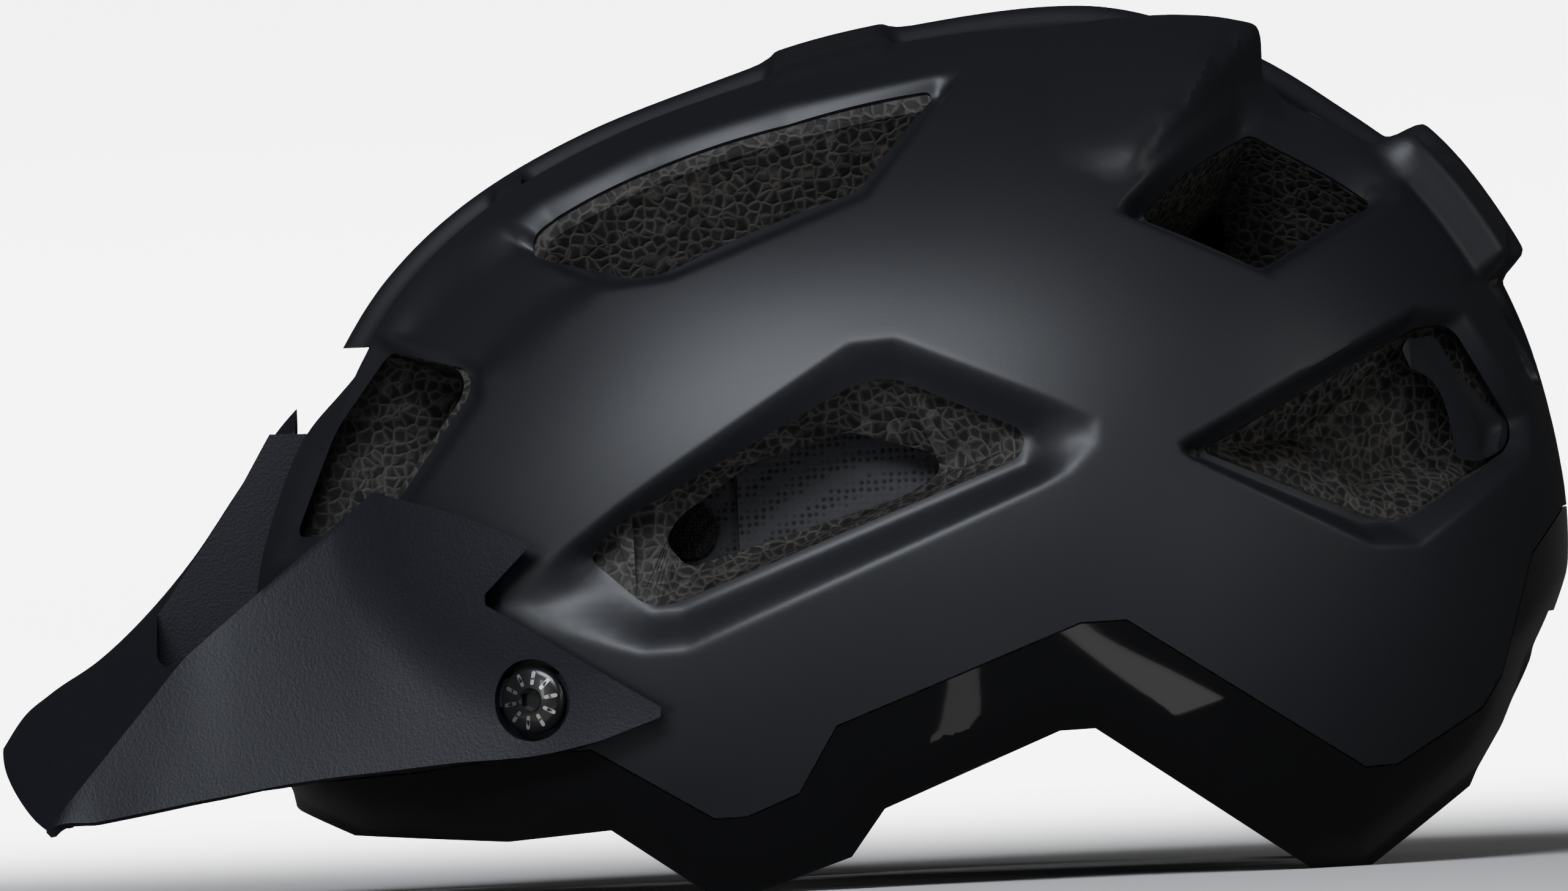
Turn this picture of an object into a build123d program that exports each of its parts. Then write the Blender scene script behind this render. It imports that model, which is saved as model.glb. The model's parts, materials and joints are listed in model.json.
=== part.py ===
"""Trail cycling helmet: foam liner in two moulded skins, tilting visor, dial-fit cradle, pads and chin strap.

Units are millimetres. X runs from the visor's tip (-X) to the back of the head (+X), Y from the wearer's
left (-Y) to the right (+Y), Z up. The helmet stands on its four low rim points, so Z = 0 is the table.
"""
from build123d import *
import math
import os

os.makedirs("parts", exist_ok=True)

# ---------------------------------------------------------------- driving dimensions
HULL_LENGTH = 285.0  # outer shell, brow to back of head
HULL_WIDTH = 212.0  # outer shell, over the ears
HULL_HEIGHT = 185.6  # rest plane to crown
SKIN_THICKNESS = 1.2  # moulded polycarbonate skins
CAVITY_LENGTH = 214.0  # inside of the foam, brow to back
CAVITY_WIDTH = 158.0  # inside of the foam, ear to ear
CAVITY_HEIGHT = 151.0  # rest plane to the inside of the crown
SPLIT_GAP = 0.4  # between the two skins
NECK_ARCH_HALF_WIDTH = 46.0  # arch in the back edge that clears the dial
NECK_ARCH_TOP = 52.0
NECK_BAND = 14.0  # gloss skin round the arch

VISOR_WALL = 2.2
VISOR_STANDOFF = 1.6  # free space between shell and visor over its whole tilt
VISOR_TILT = 12.0  # degrees, tip up from the low position
SPINE_HALF_WIDTH = 14.0  # middle rib of the visor
SPINE_GROOVE_CLEARANCE = 3.0  # each side of the rib in the shell's brow groove
PIVOT_X, PIVOT_Z = -53.0, 42.7
SCREW_SPLAY = 24.0  # degrees that each visor screw leans forward from straight out
SCREW_HEAD_RADIUS = 7.3
SCREW_HEAD_HEIGHT = 2.6
SCREW_SHANK_RADIUS = 2.5
SCREW_SHANK_LENGTH = 15.0
SCREW_HOLE_CLEARANCE = 0.35
SCREW_SEAT_GAP = 0.75  # under the head, so that the arm can swing across the splayed screw
HEX_ACROSS_FLATS = 4.0
RECESS_CLEARANCE = 1.3
RECESS_DEPTH = 1.0
INSERT_RADIUS = 5.0
INSERT_LENGTH = 12.0
INSERT_BORE_CLEARANCE = 0.05

PAD_GAP = 0.4  # pad to foam, filled by the hook dots
PAD_THICKNESS = 6.5
DOT_RADIUS = 6.0
NET_GAP = 0.2  # foam to insect net
NET_THICKNESS = 0.6
NET_BOX = (-5.6, 40.0, 63.0, 101.0)  # x from, x to, z from, z to, at the reference size

STRAP_WIDTH = 15.0
STRAP_THICKNESS = 1.3
STRAP_DEPTH = 2.0  # free space between foam and the tucked straps
STRAP_CROSSING_Z = 121.0  # level where the buckled chin strap crosses under the crown
STRAP_CROSSING_HALF = 44.0
CHIN_STRAP_X = 40.0
BUCKLE_WIDTH = 25.0
BUCKLE_THICKNESS = 9.0
BUCKLE_SOCKET_LENGTH = 30.0
BUCKLE_TONGUE_LENGTH = 22.0
BUCKLE_TRAVEL = 14.0
BUCKLE_WALL = 2.0
BUCKLE_CLEARANCE = 0.4

BELT_HEIGHT = 12.0
BELT_THICKNESS = 1.5
BELT_DEPTH = 5.0  # foam to belt
BELT_PIVOT_X, BELT_PIVOT_Z = -44.0, 30.0
BELT_PIN_RADIUS = 3.0

DIAL_Z = 28.0
CRADLE_BACK_X = 115.3  # outside of the neck yoke
PINION_TEETH = 10
GEAR_MODULE = 1.0
GEAR_BACKLASH = 0.25
RACK_THICKNESS = 2.0
RACK_BACK = 3.2  # rack height behind its pitch line
RACK_OUTER, RACK_INNER = 30.0, 12.0  # reach of each rack either side of the dial
RACK_CLEARANCE = 0.3
HOUSING_WALL = 1.6
HOUSING_HALF_LENGTH = 24.0
KNOB_RADIUS = 15.0
KNOB_THICKNESS = 8.5
KNOB_LOBES = 14
KNOB_GAP = 0.5
SPINDLE_RADIUS = 2.6
BEARING_CLEARANCE = 0.05
STRIP_WIDTH, STRIP_LENGTH, STRIP_THICKNESS = 12.0, 34.0, 2.0
CLIP_CLEARANCE = 0.5

# ---------------------------------------------------------------- outlines, at the reference size
REF_LENGTH, REF_WIDTH, REF_HEIGHT = 285.0, 212.0, 185.6
SX, SY, SZ = HULL_LENGTH / REF_LENGTH, HULL_WIDTH / REF_WIDTH, HULL_HEIGHT / REF_HEIGHT
FAR = 400.0  # longer than the helmet, for cutting tools

# Hull drawn as level slices: height, front end, back end, half-width.
HULL_SLICES = [
    (-14, -92.0, 134.0, 92.5), (8, -102.5, 148.5, 98.5), (28, -110.5, 159.0, 103.0), (50, -114.8, 167.2, 105.6),
    (72, -113.2, 169.6, 105.8), (94, -105.2, 167.0, 102.8), (115, -94.0, 160.4, 96.4), (134, -80.0, 151.6, 87.0),
    (150, -62.0, 140.2, 75.2), (163, -37.5, 125.0, 61.8), (173, -10.5, 110.5, 47.6), (180, 18.0, 97.5, 33.6),
    (184, 42.0, 86.5, 20.0), (185.6, 60.0, 78.0, 8.5),
]
HULL_EQUATOR = 60.0
SLICE_POWER = 2.2  # how square the slices are, 2 is an ellipse
BACK_FULLNESS = 0.07  # the back is this much wider than the front
SLICE_POINTS = 24

# Lower edge of the helmet, side view, front to back.
RIM = [
    (-150, 27), (-113, 27), (-105, 20.3), (-93, 14.6), (-60, 12.6), (-38, 14.2), (-17, 0), (-9, 0), (13, 7.0),
    (20, 16.6), (57, 31.6), (65, 31.6), (110, 0), (123, 0), (149, 18.0), (155.5, 27), (160.5, 42), (180, 62),
]
# Line where the gloss lower skin meets the matt upper skin.
SPLIT = [
    (-150, 40), (-114, 36), (-100, 27), (-56, 31), (-41, 31.4), (-17, 16.2), (-8, 16.6), (2, 21), (10, 34),
    (62, 54), (73, 54), (121, 21), (130, 21.2), (148, 32), (153, 40), (160.5, 65), (180, 78),
]
# Vents cut across the shell, side view.
SIDE_VENT = [(-40.8, 73.7), (17.6, 106.4), (26, 107), (52.9, 93), (47.3, 88.3), (-23, 62), (-30, 62)]
SIDE_VENT_INNER = [(-24, 76), (-5, 90.8), (15.5, 96.7), (34, 90), (26.8, 82.4), (-19.4, 69.1)]
REAR_LOW_VENT = [(89.5, 89), (140, 114), (156.8, 91), (129, 72.8)]
REAR_HIGH_VENT = [(79.9, 142.6), (104.3, 160), (129.7, 143.4), (105.6, 131)]
# Vents cut down through the crown, plan view of the right half.
LONG_VENT = [(-50, 54), (-24, 56), (5, 57), (36, 52), (22, 72), (-22, 79), (-38, 73)]
TOP_VENT = [(36, 10), (94, 10), (94, 25), (48, 28), (36, 24)]
BROW_VENT = [(-72, 10), (-40, 10), (-40, 26), (-72, 24)]
CROWN_VENT = [(-26, 10), (10, 10), (10, 27), (-26, 27)]
# Vents cut straight back through the brow and forward through the back, end view of the right half.
FRONT_VENT = [(34, 84), (58, 82), (62, 100), (52, 112), (38, 108)]
REAR_MIDDLE_VENT = [(9, 98), (24, 98), (24, 122), (9, 124)]

# Visor outline stations: x, middle line height, crease half-width, crease height, edge half-width, edge height.
VISOR_STATIONS = [
    (-168, 36.5, 50, 8, 55, -14), (-158, 47.6, 57, 19, 60.5, -4), (-147, 54.6, 58, 31.8, 63, 10),
    (-136, 64.2, 58.5, 44.5, 66, 19), (-126, 75.4, 59, 55.5, 69, 23.6), (-116, 89.2, 59.5, 63.5, 72, 25.2),
    (-106, 102.8, 61, 71.5, 75.2, 26.8), (-96, 112, 63.5, 79.6, 78.6, 28.4), (-85.7, 118, 67, 87.9, 82, 29),
    (-70, 123, 72, 96, 87, 29.5), (-53, 127, 80, 100, 92.5, 29.5), (-38, 130, 86, 102, 98, 29.5),
    (-20, 132, 92, 104, 102, 29.5),
]
# Side view of the arms: everything outside this outline is cut away.
VISOR_SIDE = [
    (-171, 30), (-164, 20.5), (-158.2, 18.7), (-111.5, 26.1), (-58.9, 31), (-48, 31), (-26.5, 38.5), (-26.3, 40.2),
    (-62.6, 63.2), (-62.6, 65.4), (-52.3, 75.6), (-67.7, 82.5), (-85.7, 87.9), (-104, 74), (-104, 110),
    (-175, 110),
]
# Side view of the open slots either side of the rib.
VISOR_SLOT = [(-133.8, 57), (-133.2, 53.2), (-128, 53.8), (-85.7, 87.9), (-85.7, 125), (-125, 125)]
# Side view of the rib's side walls, which reach down to the shell.
SPINE_WALL = [
    (-134.5, 52), (-134, 62), (-127.2, 71.5), (-116.4, 86.2), (-108.3, 99.9), (-104.2, 99), (-107.2, 93.5),
    (-115.6, 66.9), (-118.2, 50),
]
GROOVE_RADIUS = 60.5  # from the visor pivot to the floor of the brow groove
GROOVE_LOW_Z, GROOVE_HIGH_Z = 62.0, 121.0


# ---------------------------------------------------------------- hull
def slice_point(middle, reach, half_width, angle, power=SLICE_POWER, fullness=BACK_FULLNESS):
    c, s = math.cos(angle), math.sin(angle)
    u = math.copysign(abs(c) ** (2 / power), c)
    v = math.copysign(abs(s) ** (2 / power), s)
    return middle + reach * u, half_width * v * (1 + fullness * u)


def slice_face(z, front, back, half_width, fullness=BACK_FULLNESS):
    """One level egg-shaped face."""
    angles = [2 * math.pi * i / SLICE_POINTS for i in range(SLICE_POINTS)]
    spots = [slice_point((front + back) / 2, (back - front) / 2, half_width, a, fullness=fullness) for a in angles]
    return make_face(Spline(*[Vector(x, y, z) for x, y in spots], periodic=True))


def hull(inset=0.0):
    """Solid outer form of the helmet, shrunk evenly by inset."""
    kx, ky = 1 - 2 * inset / HULL_LENGTH, 1 - 2 * inset / HULL_WIDTH
    kz = 1 - inset / (HULL_HEIGHT - HULL_EQUATOR * SZ)
    faces = []
    for z, front, back, half_width in HULL_SLICES:
        middle, reach = (front + back) / 2 * SX, (back - front) / 2 * SX * kx
        level = (HULL_EQUATOR + (z - HULL_EQUATOR) * kz) * SZ
        faces.append(slice_face(level, middle - reach, middle + reach, half_width * SY * ky))
    return loft(faces)


def hull_half_width(x, z):
    """Half-width of the hull at a side-view point, or 0 outside it."""
    x, z = x / SX, z / SZ
    rows = HULL_SLICES
    if z >= rows[-1][0] or z <= rows[0][0]:
        return 0.0
    low, high = next((a, b) for a, b in zip(rows, rows[1:]) if a[0] <= z <= b[0])
    t = (z - low[0]) / (high[0] - low[0])
    front, back, half_width = (p + t * (q - p) for p, q in zip(low[1:], high[1:]))
    u = (x - (front + back) / 2) / ((back - front) / 2)
    if abs(u) >= 1:
        return 0.0
    return SY * half_width * (1 - abs(u) ** SLICE_POWER) ** (1 / SLICE_POWER) * (1 + BACK_FULLNESS * u)


CAVITY_MIDDLE = 27.0 * SX
CAVITY_EQUATOR = 40.0 * SZ
CAVITY_POWER = 2.3
CAVITY_ANGLES = (0, 16, 32, 47, 60, 71, 80, 86)
CAVITY_FULLNESS = 0.03


def cavity(inset=0.0):
    """Head space of the liner, shrunk evenly by inset: straight walls below its equator, a dome above."""
    reach, half_width = CAVITY_LENGTH / 2 - inset, CAVITY_WIDTH / 2 - inset
    rise = CAVITY_HEIGHT - CAVITY_EQUATOR - inset

    def level(z, k=1.0):
        return slice_face(z, CAVITY_MIDDLE - reach * k, CAVITY_MIDDLE + reach * k, half_width * k, CAVITY_FULLNESS)

    sines = [math.sin(math.radians(a)) for a in CAVITY_ANGLES]
    dome = [level(CAVITY_EQUATOR + rise * s, (1 - s ** CAVITY_POWER) ** (1 / CAVITY_POWER)) for s in sines]
    return loft([level(-30), level(5), *dome])


def cavity_half_width(x, z, inset=0.0):
    """Half-width of the head space at a side-view point."""
    rise = CAVITY_HEIGHT - CAVITY_EQUATOR - inset
    s = max(0.0, (z - CAVITY_EQUATOR) / rise)
    k = (1 - s ** CAVITY_POWER) ** (1 / CAVITY_POWER)
    u = (x - CAVITY_MIDDLE) / ((CAVITY_LENGTH / 2 - inset) * k)
    edge = (1 - abs(u) ** SLICE_POWER) ** (1 / SLICE_POWER)
    return (CAVITY_WIDTH / 2 - inset) * k * edge * (1 + CAVITY_FULLNESS * u)


# ---------------------------------------------------------------- cutting tools
def side_prism(points, y_from=-FAR / 2, y_to=FAR / 2):
    """Side-view outline, swept across the helmet between two Y planes."""
    outline = Plane.XZ.offset(-y_from) * make_face(Polyline(*points, close=True))
    return extrude(outline, amount=-(y_to - y_from))


def plan_prism(points, z_from, z_to):
    outline = Plane.XY.offset(z_from) * make_face(Polyline(*points, close=True))
    return extrude(outline, amount=z_to - z_from)


def end_prism(points, x_from, x_to):
    outline = Plane.YZ.offset(x_from) * make_face(Polyline(*points, close=True))
    return extrude(outline, amount=x_to - x_from)


def both_sides(solid):
    return [solid, mirror(solid, about=Plane.XZ)]


def side_scaled(points):
    return [(x * SX, z * SZ) for x, z in points]


def plan_scaled(points):
    return [(x * SX, y * SY) for x, y in points]


def end_scaled(points):
    return [(y * SY, z * SZ) for y, z in points]


def block(x0, x1, y0, y1, z0, z1):
    return Pos((x0 + x1) / 2, (y0 + y1) / 2, (z0 + z1) / 2) * Box(x1 - x0, y1 - y0, z1 - z0)


def below(line, lift=0.0):
    """Everything under a side-view line."""
    pts = [(x, z + lift) for x, z in side_scaled(line)]
    return side_prism([(-FAR, pts[0][1]), *pts, (FAR, pts[-1][1]), (FAR, -FAR), (-FAR, -FAR)])


def neck_arch(grow=0.0):
    half, top = NECK_ARCH_HALF_WIDTH + grow, NECK_ARCH_TOP * SZ + grow
    spots = [(-half, -60), (4 - half, 8), (20 - half, top), (half - 20, top), (half - 4, 8), (half, -60)]
    return end_prism(spots, 95 * SX, FAR)


def brow_groove():
    """Channel that the visor's rib sinks into as the visor tilts up."""
    half = SPINE_HALF_WIDTH + SPINE_GROOVE_CLEARANCE
    region = block(-FAR / 2, PIVOT_X, -half, half, GROOVE_LOW_Z * SZ, GROOVE_HIGH_Z * SZ)
    return region - Pos(PIVOT_X, 0, PIVOT_Z) * Rot(90, 0, 0) * Cylinder(GROOVE_RADIUS, FAR)


def shell_vents():
    """Everything cut through the outer skins."""
    side = side_prism(side_scaled(SIDE_VENT), -FAR / 2, -40)
    rear_low = side_prism(side_scaled(REAR_LOW_VENT), -FAR / 2, -38)
    rear_high = side_prism(side_scaled(REAR_HIGH_VENT), -FAR / 2, -40)
    crown = [plan_prism([(x, -y) for x, y in plan_scaled(v)], z * SZ, FAR)
             for v, z in ((LONG_VENT, 112), (TOP_VENT, 120), (BROW_VENT, 100), (CROWN_VENT, 120))]
    front = end_prism([(-y, z) for y, z in end_scaled(FRONT_VENT)], -FAR / 2, -45 * SX)
    rear = end_prism([(-y, z) for y, z in end_scaled(REAR_MIDDLE_VENT)], 80 * SX, FAR / 2)
    tools = [t for v in (side, rear_low, rear_high, *crown, front, rear) for t in both_sides(v)]
    return [*tools, brow_groove()]


def liner_vents():
    """The same openings through the foam, where the side vent narrows to a smaller hole."""
    tools = shell_vents()
    mouth = side_prism(side_scaled(SIDE_VENT), -FAR / 2, -88 * SY)
    throat = side_prism(side_scaled(SIDE_VENT_INNER), -FAR / 2, -40)
    return [*both_sides(mouth), *both_sides(throat), *tools[2:]]


# ---------------------------------------------------------------- visor screws
def screw_frame(out):
    """Frame on the left screw's axis: its Z points outwards, its origin lies 'out' beyond the visor's face."""
    splay = math.radians(SCREW_SPLAY)
    direction = Vector(-math.sin(splay), -math.cos(splay), 0)
    face = Vector(PIVOT_X, -visor_half_width(PIVOT_X, PIVOT_Z), PIVOT_Z)
    return Plane(origin=face + direction * out, z_dir=direction)


def along_screw(radius, start, end):
    return extrude(screw_frame(start) * Circle(radius), amount=end - start)


def turned(x, z, degrees):
    """Side-view point after the visor tilts up."""
    a = math.radians(degrees)
    dx, dz = x - PIVOT_X, z - PIVOT_Z
    return PIVOT_X + dx * math.cos(a) + dz * math.sin(a), PIVOT_Z - dx * math.sin(a) + dz * math.cos(a)


def visor_half_width(x, z):
    """Outside half-width that an arm needs so that it clears the shell over its whole tilt."""
    swept = max(hull_half_width(*turned(x, z, VISOR_TILT * k / 4)) for k in range(5))
    return swept + VISOR_STANDOFF + VISOR_WALL if swept else 0.0


def visor_screw():
    head = along_screw(SCREW_HEAD_RADIUS, SCREW_SEAT_GAP - RECESS_DEPTH, SCREW_SEAT_GAP - RECESS_DEPTH +
                       SCREW_HEAD_HEIGHT)
    head = fillet(head.edges().group_by(Axis((0, 0, 0), screw_frame(0).z_dir))[-1], SCREW_HEAD_HEIGHT * 0.45)
    shank = along_screw(SCREW_SHANK_RADIUS, -SCREW_SHANK_LENGTH, 0)
    top = SCREW_SEAT_GAP - RECESS_DEPTH + SCREW_HEAD_HEIGHT
    socket = extrude(screw_frame(top + 0.1) * RegularPolygon(HEX_ACROSS_FLATS / math.sqrt(3), 6), amount=-2.2)
    return head + shank - socket


def screw_bore(clearance):
    return along_screw(SCREW_SHANK_RADIUS + clearance, -SCREW_SHANK_LENGTH - 1.5, 6)


def visor_insert():
    """Moulded-in nut that takes the visor screw."""
    base = -VISOR_WALL - VISOR_STANDOFF - SKIN_THICKNESS - 1.0
    return along_screw(INSERT_RADIUS, base - INSERT_LENGTH, base) - screw_bore(INSERT_BORE_CLEARANCE)


# ---------------------------------------------------------------- visor
def visor_section(station, shrink):
    """D-shaped end-view face of the visor form at one station."""
    x, top, crease_y, crease_z, edge_y, edge_z = (s * k for s, k in zip(station, (SX, SZ, SY, SZ, SY, SZ)))
    half = []
    for i in range(6):
        t = i / 6
        bulge = 4 * t * (1 - t) * 0.05 * (top - crease_z)
        half.append((crease_y * t, top + (crease_z - top) * t * t ** 0.15 + bulge))
    for i in range(8):
        t = i / 5  # runs on below the edge, so that the side view alone cuts it
        z = crease_z + (edge_z - crease_z) * t
        y = crease_y + (edge_y - crease_y) * min(t, 1.0) + max(t - 1, 0) * 2
        half.append((max(y, visor_half_width(x, z)), z))
    widest = max(y for y, z in half)
    inner = [(y * (1 - shrink / widest), z - shrink) for y, z in half]
    arch = [(-y, z) for y, z in reversed(inner[1:])] + inner
    curve = Spline(*[Vector(x, y, z) for y, z in arch])
    floor = -60.0
    (ya, za), (yb, zb) = arch[0], arch[-1]
    foot = Polyline((x, yb, zb), (x, yb, floor), (x, ya, floor), (x, ya, za))
    return make_face(Wire([curve.edge(), *foot.edges()]))


def visor_form(shrink=0.0):
    return loft([visor_section(s, shrink) for s in VISOR_STATIONS])


def visor():
    skin = visor_form(0) - visor_form(VISOR_WALL)
    skin = skin & side_prism(side_scaled(VISOR_SIDE))
    slot = side_scaled(VISOR_SLOT)
    for y_from, y_to in ((-FAR / 2, -SPINE_HALF_WIDTH), (SPINE_HALF_WIDTH, FAR / 2)):
        skin -= side_prism(slot, y_from, y_to)
    for side in (-1, 1):
        outer = side * SPINE_HALF_WIDTH
        inner = side * (SPINE_HALF_WIDTH - VISOR_WALL)
        skin += side_prism(side_scaled(SPINE_WALL), min(outer, inner), max(outer, inner))
    tip = [(-171, 60), (-171, -171), (-164.5, -171), (-158, -60), (-165, -35), (-168.6, 0), (-165, 35), (-158, 60),
           (-164.5, 171), (-171, 171)]
    skin -= plan_prism(plan_scaled(tip), -FAR / 2, FAR / 2)
    recess = along_screw(SCREW_HEAD_RADIUS + RECESS_CLEARANCE, -RECESS_DEPTH, 12)
    for tool in (*both_sides(recess), *both_sides(screw_bore(SCREW_HOLE_CLEARANCE))):
        skin -= tool
    return skin


# ---------------------------------------------------------------- shells and foam
def rim_form(inset=0.0):
    """Solid helmet form above the rim line, shrunk evenly by inset."""
    return hull(inset) - below(RIM, inset) - neck_arch(inset)


def shells_and_liner():
    inside = rim_form(SKIN_THICKNESS)
    head = cavity()
    skin = rim_form() - inside - head
    for tool in (*shell_vents(), *both_sides(screw_bore(SCREW_HOLE_CLEARANCE))):
        skin -= tool
    lower = skin & (below(SPLIT, -SPLIT_GAP / 2) + neck_arch(NECK_BAND - SPLIT_GAP / 2))
    upper = skin - below(SPLIT, SPLIT_GAP / 2) - neck_arch(NECK_BAND + SPLIT_GAP / 2)
    foam = inside - head
    moulded_in = [visor_insert(), strap_anchor(*FRONT_ANCHOR), strap_anchor(*REAR_ANCHOR), belt_pin()]
    for tool in (*liner_vents(), height_strip(), *both_sides(screw_bore(SCREW_HOLE_CLEARANCE))):
        foam -= tool
    for part in moulded_in:
        for tool in both_sides(part):
            foam -= tool
    return upper, lower, foam


# ---------------------------------------------------------------- lining shells
def lining(outer, inner):
    """Shell that follows the foam's inside, between two depths."""
    return cavity(outer) - cavity(inner)


def ribbon(points, width):
    """Closed outline of a line of even width."""
    left, right = [], []
    for i, (x, y) in enumerate(points):
        (x0, y0), (x1, y1) = points[max(i - 1, 0)], points[min(i + 1, len(points) - 1)]
        length = math.hypot(x1 - x0, y1 - y0)
        nx, ny = (y0 - y1) / length * width / 2, (x1 - x0) / length * width / 2
        left.append((x + nx, y + ny))
        right.append((x - nx, y - ny))
    return left + right[::-1]


FRONT_ANCHOR = (-13.0 * SX, 8.0)  # side-view middle of each strap anchor
REAR_ANCHOR = (103.0 * SX, 19.0)
ANCHOR_WIDTH, ANCHOR_HEIGHT = 18.0, 4.0
ANCHOR_ROOT, ANCHOR_PROUD = 5.0, 0.8  # depth in the foam, and how far the bar stands past the webbing
DIVIDER = [(22, 84), (58, 84), (52, 101), (28, 101)]


def strap_anchor(x, z):
    """Left moulded-in bar that a side strap loops round."""
    bar = block(x - ANCHOR_WIDTH / 2, x + ANCHOR_WIDTH / 2, -FAR / 2, 0, z - ANCHOR_HEIGHT / 2, z + ANCHOR_HEIGHT / 2)
    return bar & (cavity(-ANCHOR_ROOT) - cavity(STRAP_DEPTH + STRAP_THICKNESS + ANCHOR_PROUD))


def strap_layer():
    return lining(STRAP_DEPTH, STRAP_DEPTH + STRAP_THICKNESS)


def divider():
    block_form = lining(STRAP_DEPTH - 1.0, STRAP_DEPTH + STRAP_THICKNESS + 2.2)
    return block_form & side_prism(side_scaled(DIVIDER), -FAR / 2, 0)


def side_strap(anchor, top_x):
    """Left webbing from one anchor up to the divider."""
    x, z = anchor
    band = side_prism(ribbon([(x, z - 12), (top_x * SX, 90 * SZ)], STRAP_WIDTH), -FAR / 2, -20)
    band = strap_layer() & band & block(-FAR, FAR, -FAR, 0, z + ANCHOR_HEIGHT / 2, DIVIDER[0][1] * SZ)
    return band


def chin_strap(end):
    """Left webbing from the divider, over to the buckle: 'end' is its inner end, as a distance from the middle."""
    x = CHIN_STRAP_X * SX
    depth = STRAP_DEPTH + STRAP_THICKNESS / 2
    low, mid = DIVIDER[2][1] * SZ, 110 * SZ
    route = [(cavity_half_width(x, low, depth), low), (cavity_half_width(x, mid, depth) - 1.5, mid),
             (STRAP_CROSSING_HALF + 7.5, STRAP_CROSSING_Z - 2.2), (STRAP_CROSSING_HALF, STRAP_CROSSING_Z),
             (end, STRAP_CROSSING_Z)]
    outline = ribbon([(-y, z) for y, z in route], STRAP_THICKNESS)
    return end_prism(outline, x - STRAP_WIDTH / 2, x + STRAP_WIDTH / 2) - block(-FAR, FAR, -FAR, FAR, 0, low)


def buckle_block(y0, y1, half_x, half_z):
    x, z = CHIN_STRAP_X * SX, STRAP_CROSSING_Z
    return block(x - half_x, x + half_x, y0, y1, z - half_z, z + half_z)


PRONG_LENGTH = 12.0
PRONG_X, PRONG_HALF = 8.5, 1.6
STRAP_ENTRY = 3.0  # webbing inside the mouth of each buckle half


def prongs(grow=0.0, length=PRONG_LENGTH):
    x = CHIN_STRAP_X * SX
    return [block(x + side * PRONG_X - PRONG_HALF - grow, x + side * PRONG_X + PRONG_HALF + grow, -1, length + grow,
                  STRAP_CROSSING_Z - 2 - grow, STRAP_CROSSING_Z + 2 + grow) for side in (-1, 1)]


def webbing_slot(y0, y1):
    return buckle_block(y0, y1, STRAP_WIDTH / 2 + BUCKLE_CLEARANCE, STRAP_THICKNESS / 2 + BUCKLE_CLEARANCE)


def buckle_tongue():
    body = buckle_block(-BUCKLE_TONGUE_LENGTH, 0, BUCKLE_WIDTH / 2, BUCKLE_THICKNESS / 2)
    body = fillet(body.edges().filter_by(Axis.Y), BUCKLE_THICKNESS * 0.3)
    body -= webbing_slot(-BUCKLE_TONGUE_LENGTH - 1, -BUCKLE_TONGUE_LENGTH + STRAP_ENTRY + BUCKLE_TRAVEL + 1)
    for prong in prongs():
        body += prong
    return body


def buckle_socket():
    body = buckle_block(BUCKLE_CLEARANCE, BUCKLE_SOCKET_LENGTH, BUCKLE_WIDTH / 2, BUCKLE_THICKNESS / 2)
    body = fillet(body.edges().filter_by(Axis.Y), BUCKLE_THICKNESS * 0.3)
    for pocket in prongs(BUCKLE_CLEARANCE):
        body -= pocket
    return body - webbing_slot(BUCKLE_SOCKET_LENGTH - STRAP_ENTRY, BUCKLE_SOCKET_LENGTH + 1)


# ---------------------------------------------------------------- pads
PAD_BOXES = {  # x from, x to, y from, y to, z from, z to, at the reference size
    "brow_pad": (-100, -46, -47, 47, 24, 50),
    "crown_pad_centre": (-34, 92, -8.5, 8.5, 110, 160),
    "crown_pad_right": (-24, 24, 30, 43, 108, 160),
    "rear_pad_right": (62, 96, 28, 42, 96, 140),
    "side_pad_right": (-32, -6, 40, 90, 62, 92),
}
DOT_SPOTS = {  # side-view places along X for the dots behind each pad
    "crown_pad_centre": (-20, 20, 60), "crown_pad_right": (-12, 12), "rear_pad_right": (78,), "side_pad_right": (-19,),
}


def pad_box(name):
    x0, x1, y0, y1, z0, z1 = (v * k for v, k in zip(PAD_BOXES[name], (SX, SX, SY, SY, SZ, SZ)))
    return block(x0, x1, y0, y1, z0, z1)


def pad(name):
    return lining(PAD_GAP, PAD_GAP + PAD_THICKNESS) & pad_box(name)


def vent_net():
    """Left insect net: thin mesh cloth glued inside the side vent, in front of the side pad."""
    x0, x1, z0, z1 = NET_BOX
    return lining(NET_GAP, NET_GAP + NET_THICKNESS) & block(x0 * SX, x1 * SX, -FAR / 2, 0, z0 * SZ, z1 * SZ)


def hook_dots():
    """Thin hook-tape dots that fill the gap between foam and pads."""
    layer = lining(0, PAD_GAP)
    dots = []
    for name, places in DOT_SPOTS.items():
        x0, x1, y0, y1, z0, z1 = PAD_BOXES[name]
        for x in places:
            if name == "side_pad_right":
                tool = Pos(x * SX, 0, (z0 + z1) / 2 * SZ) * Rot(90, 0, 0) * Cylinder(DOT_RADIUS, FAR)
            else:
                tool = Pos(x * SX, (y0 + y1) / 2 * SY, 0) * Cylinder(DOT_RADIUS, FAR)
            dot = layer & tool & block(-FAR, FAR, y0 * SY, y1 * SY + 1, z0 * SZ, FAR)
            dots += dot.solids() if y0 < 0 else both_sides(dot.solid())
    front = layer & (Pos(0, 0, 37 * SZ) * Rot(0, 90, 0) * Cylinder(DOT_RADIUS, FAR)) & block(-FAR, 0, -20, 20, 0, 99)
    return Compound(children=[s for d in (*dots, front) for s in d.solids()])


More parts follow.
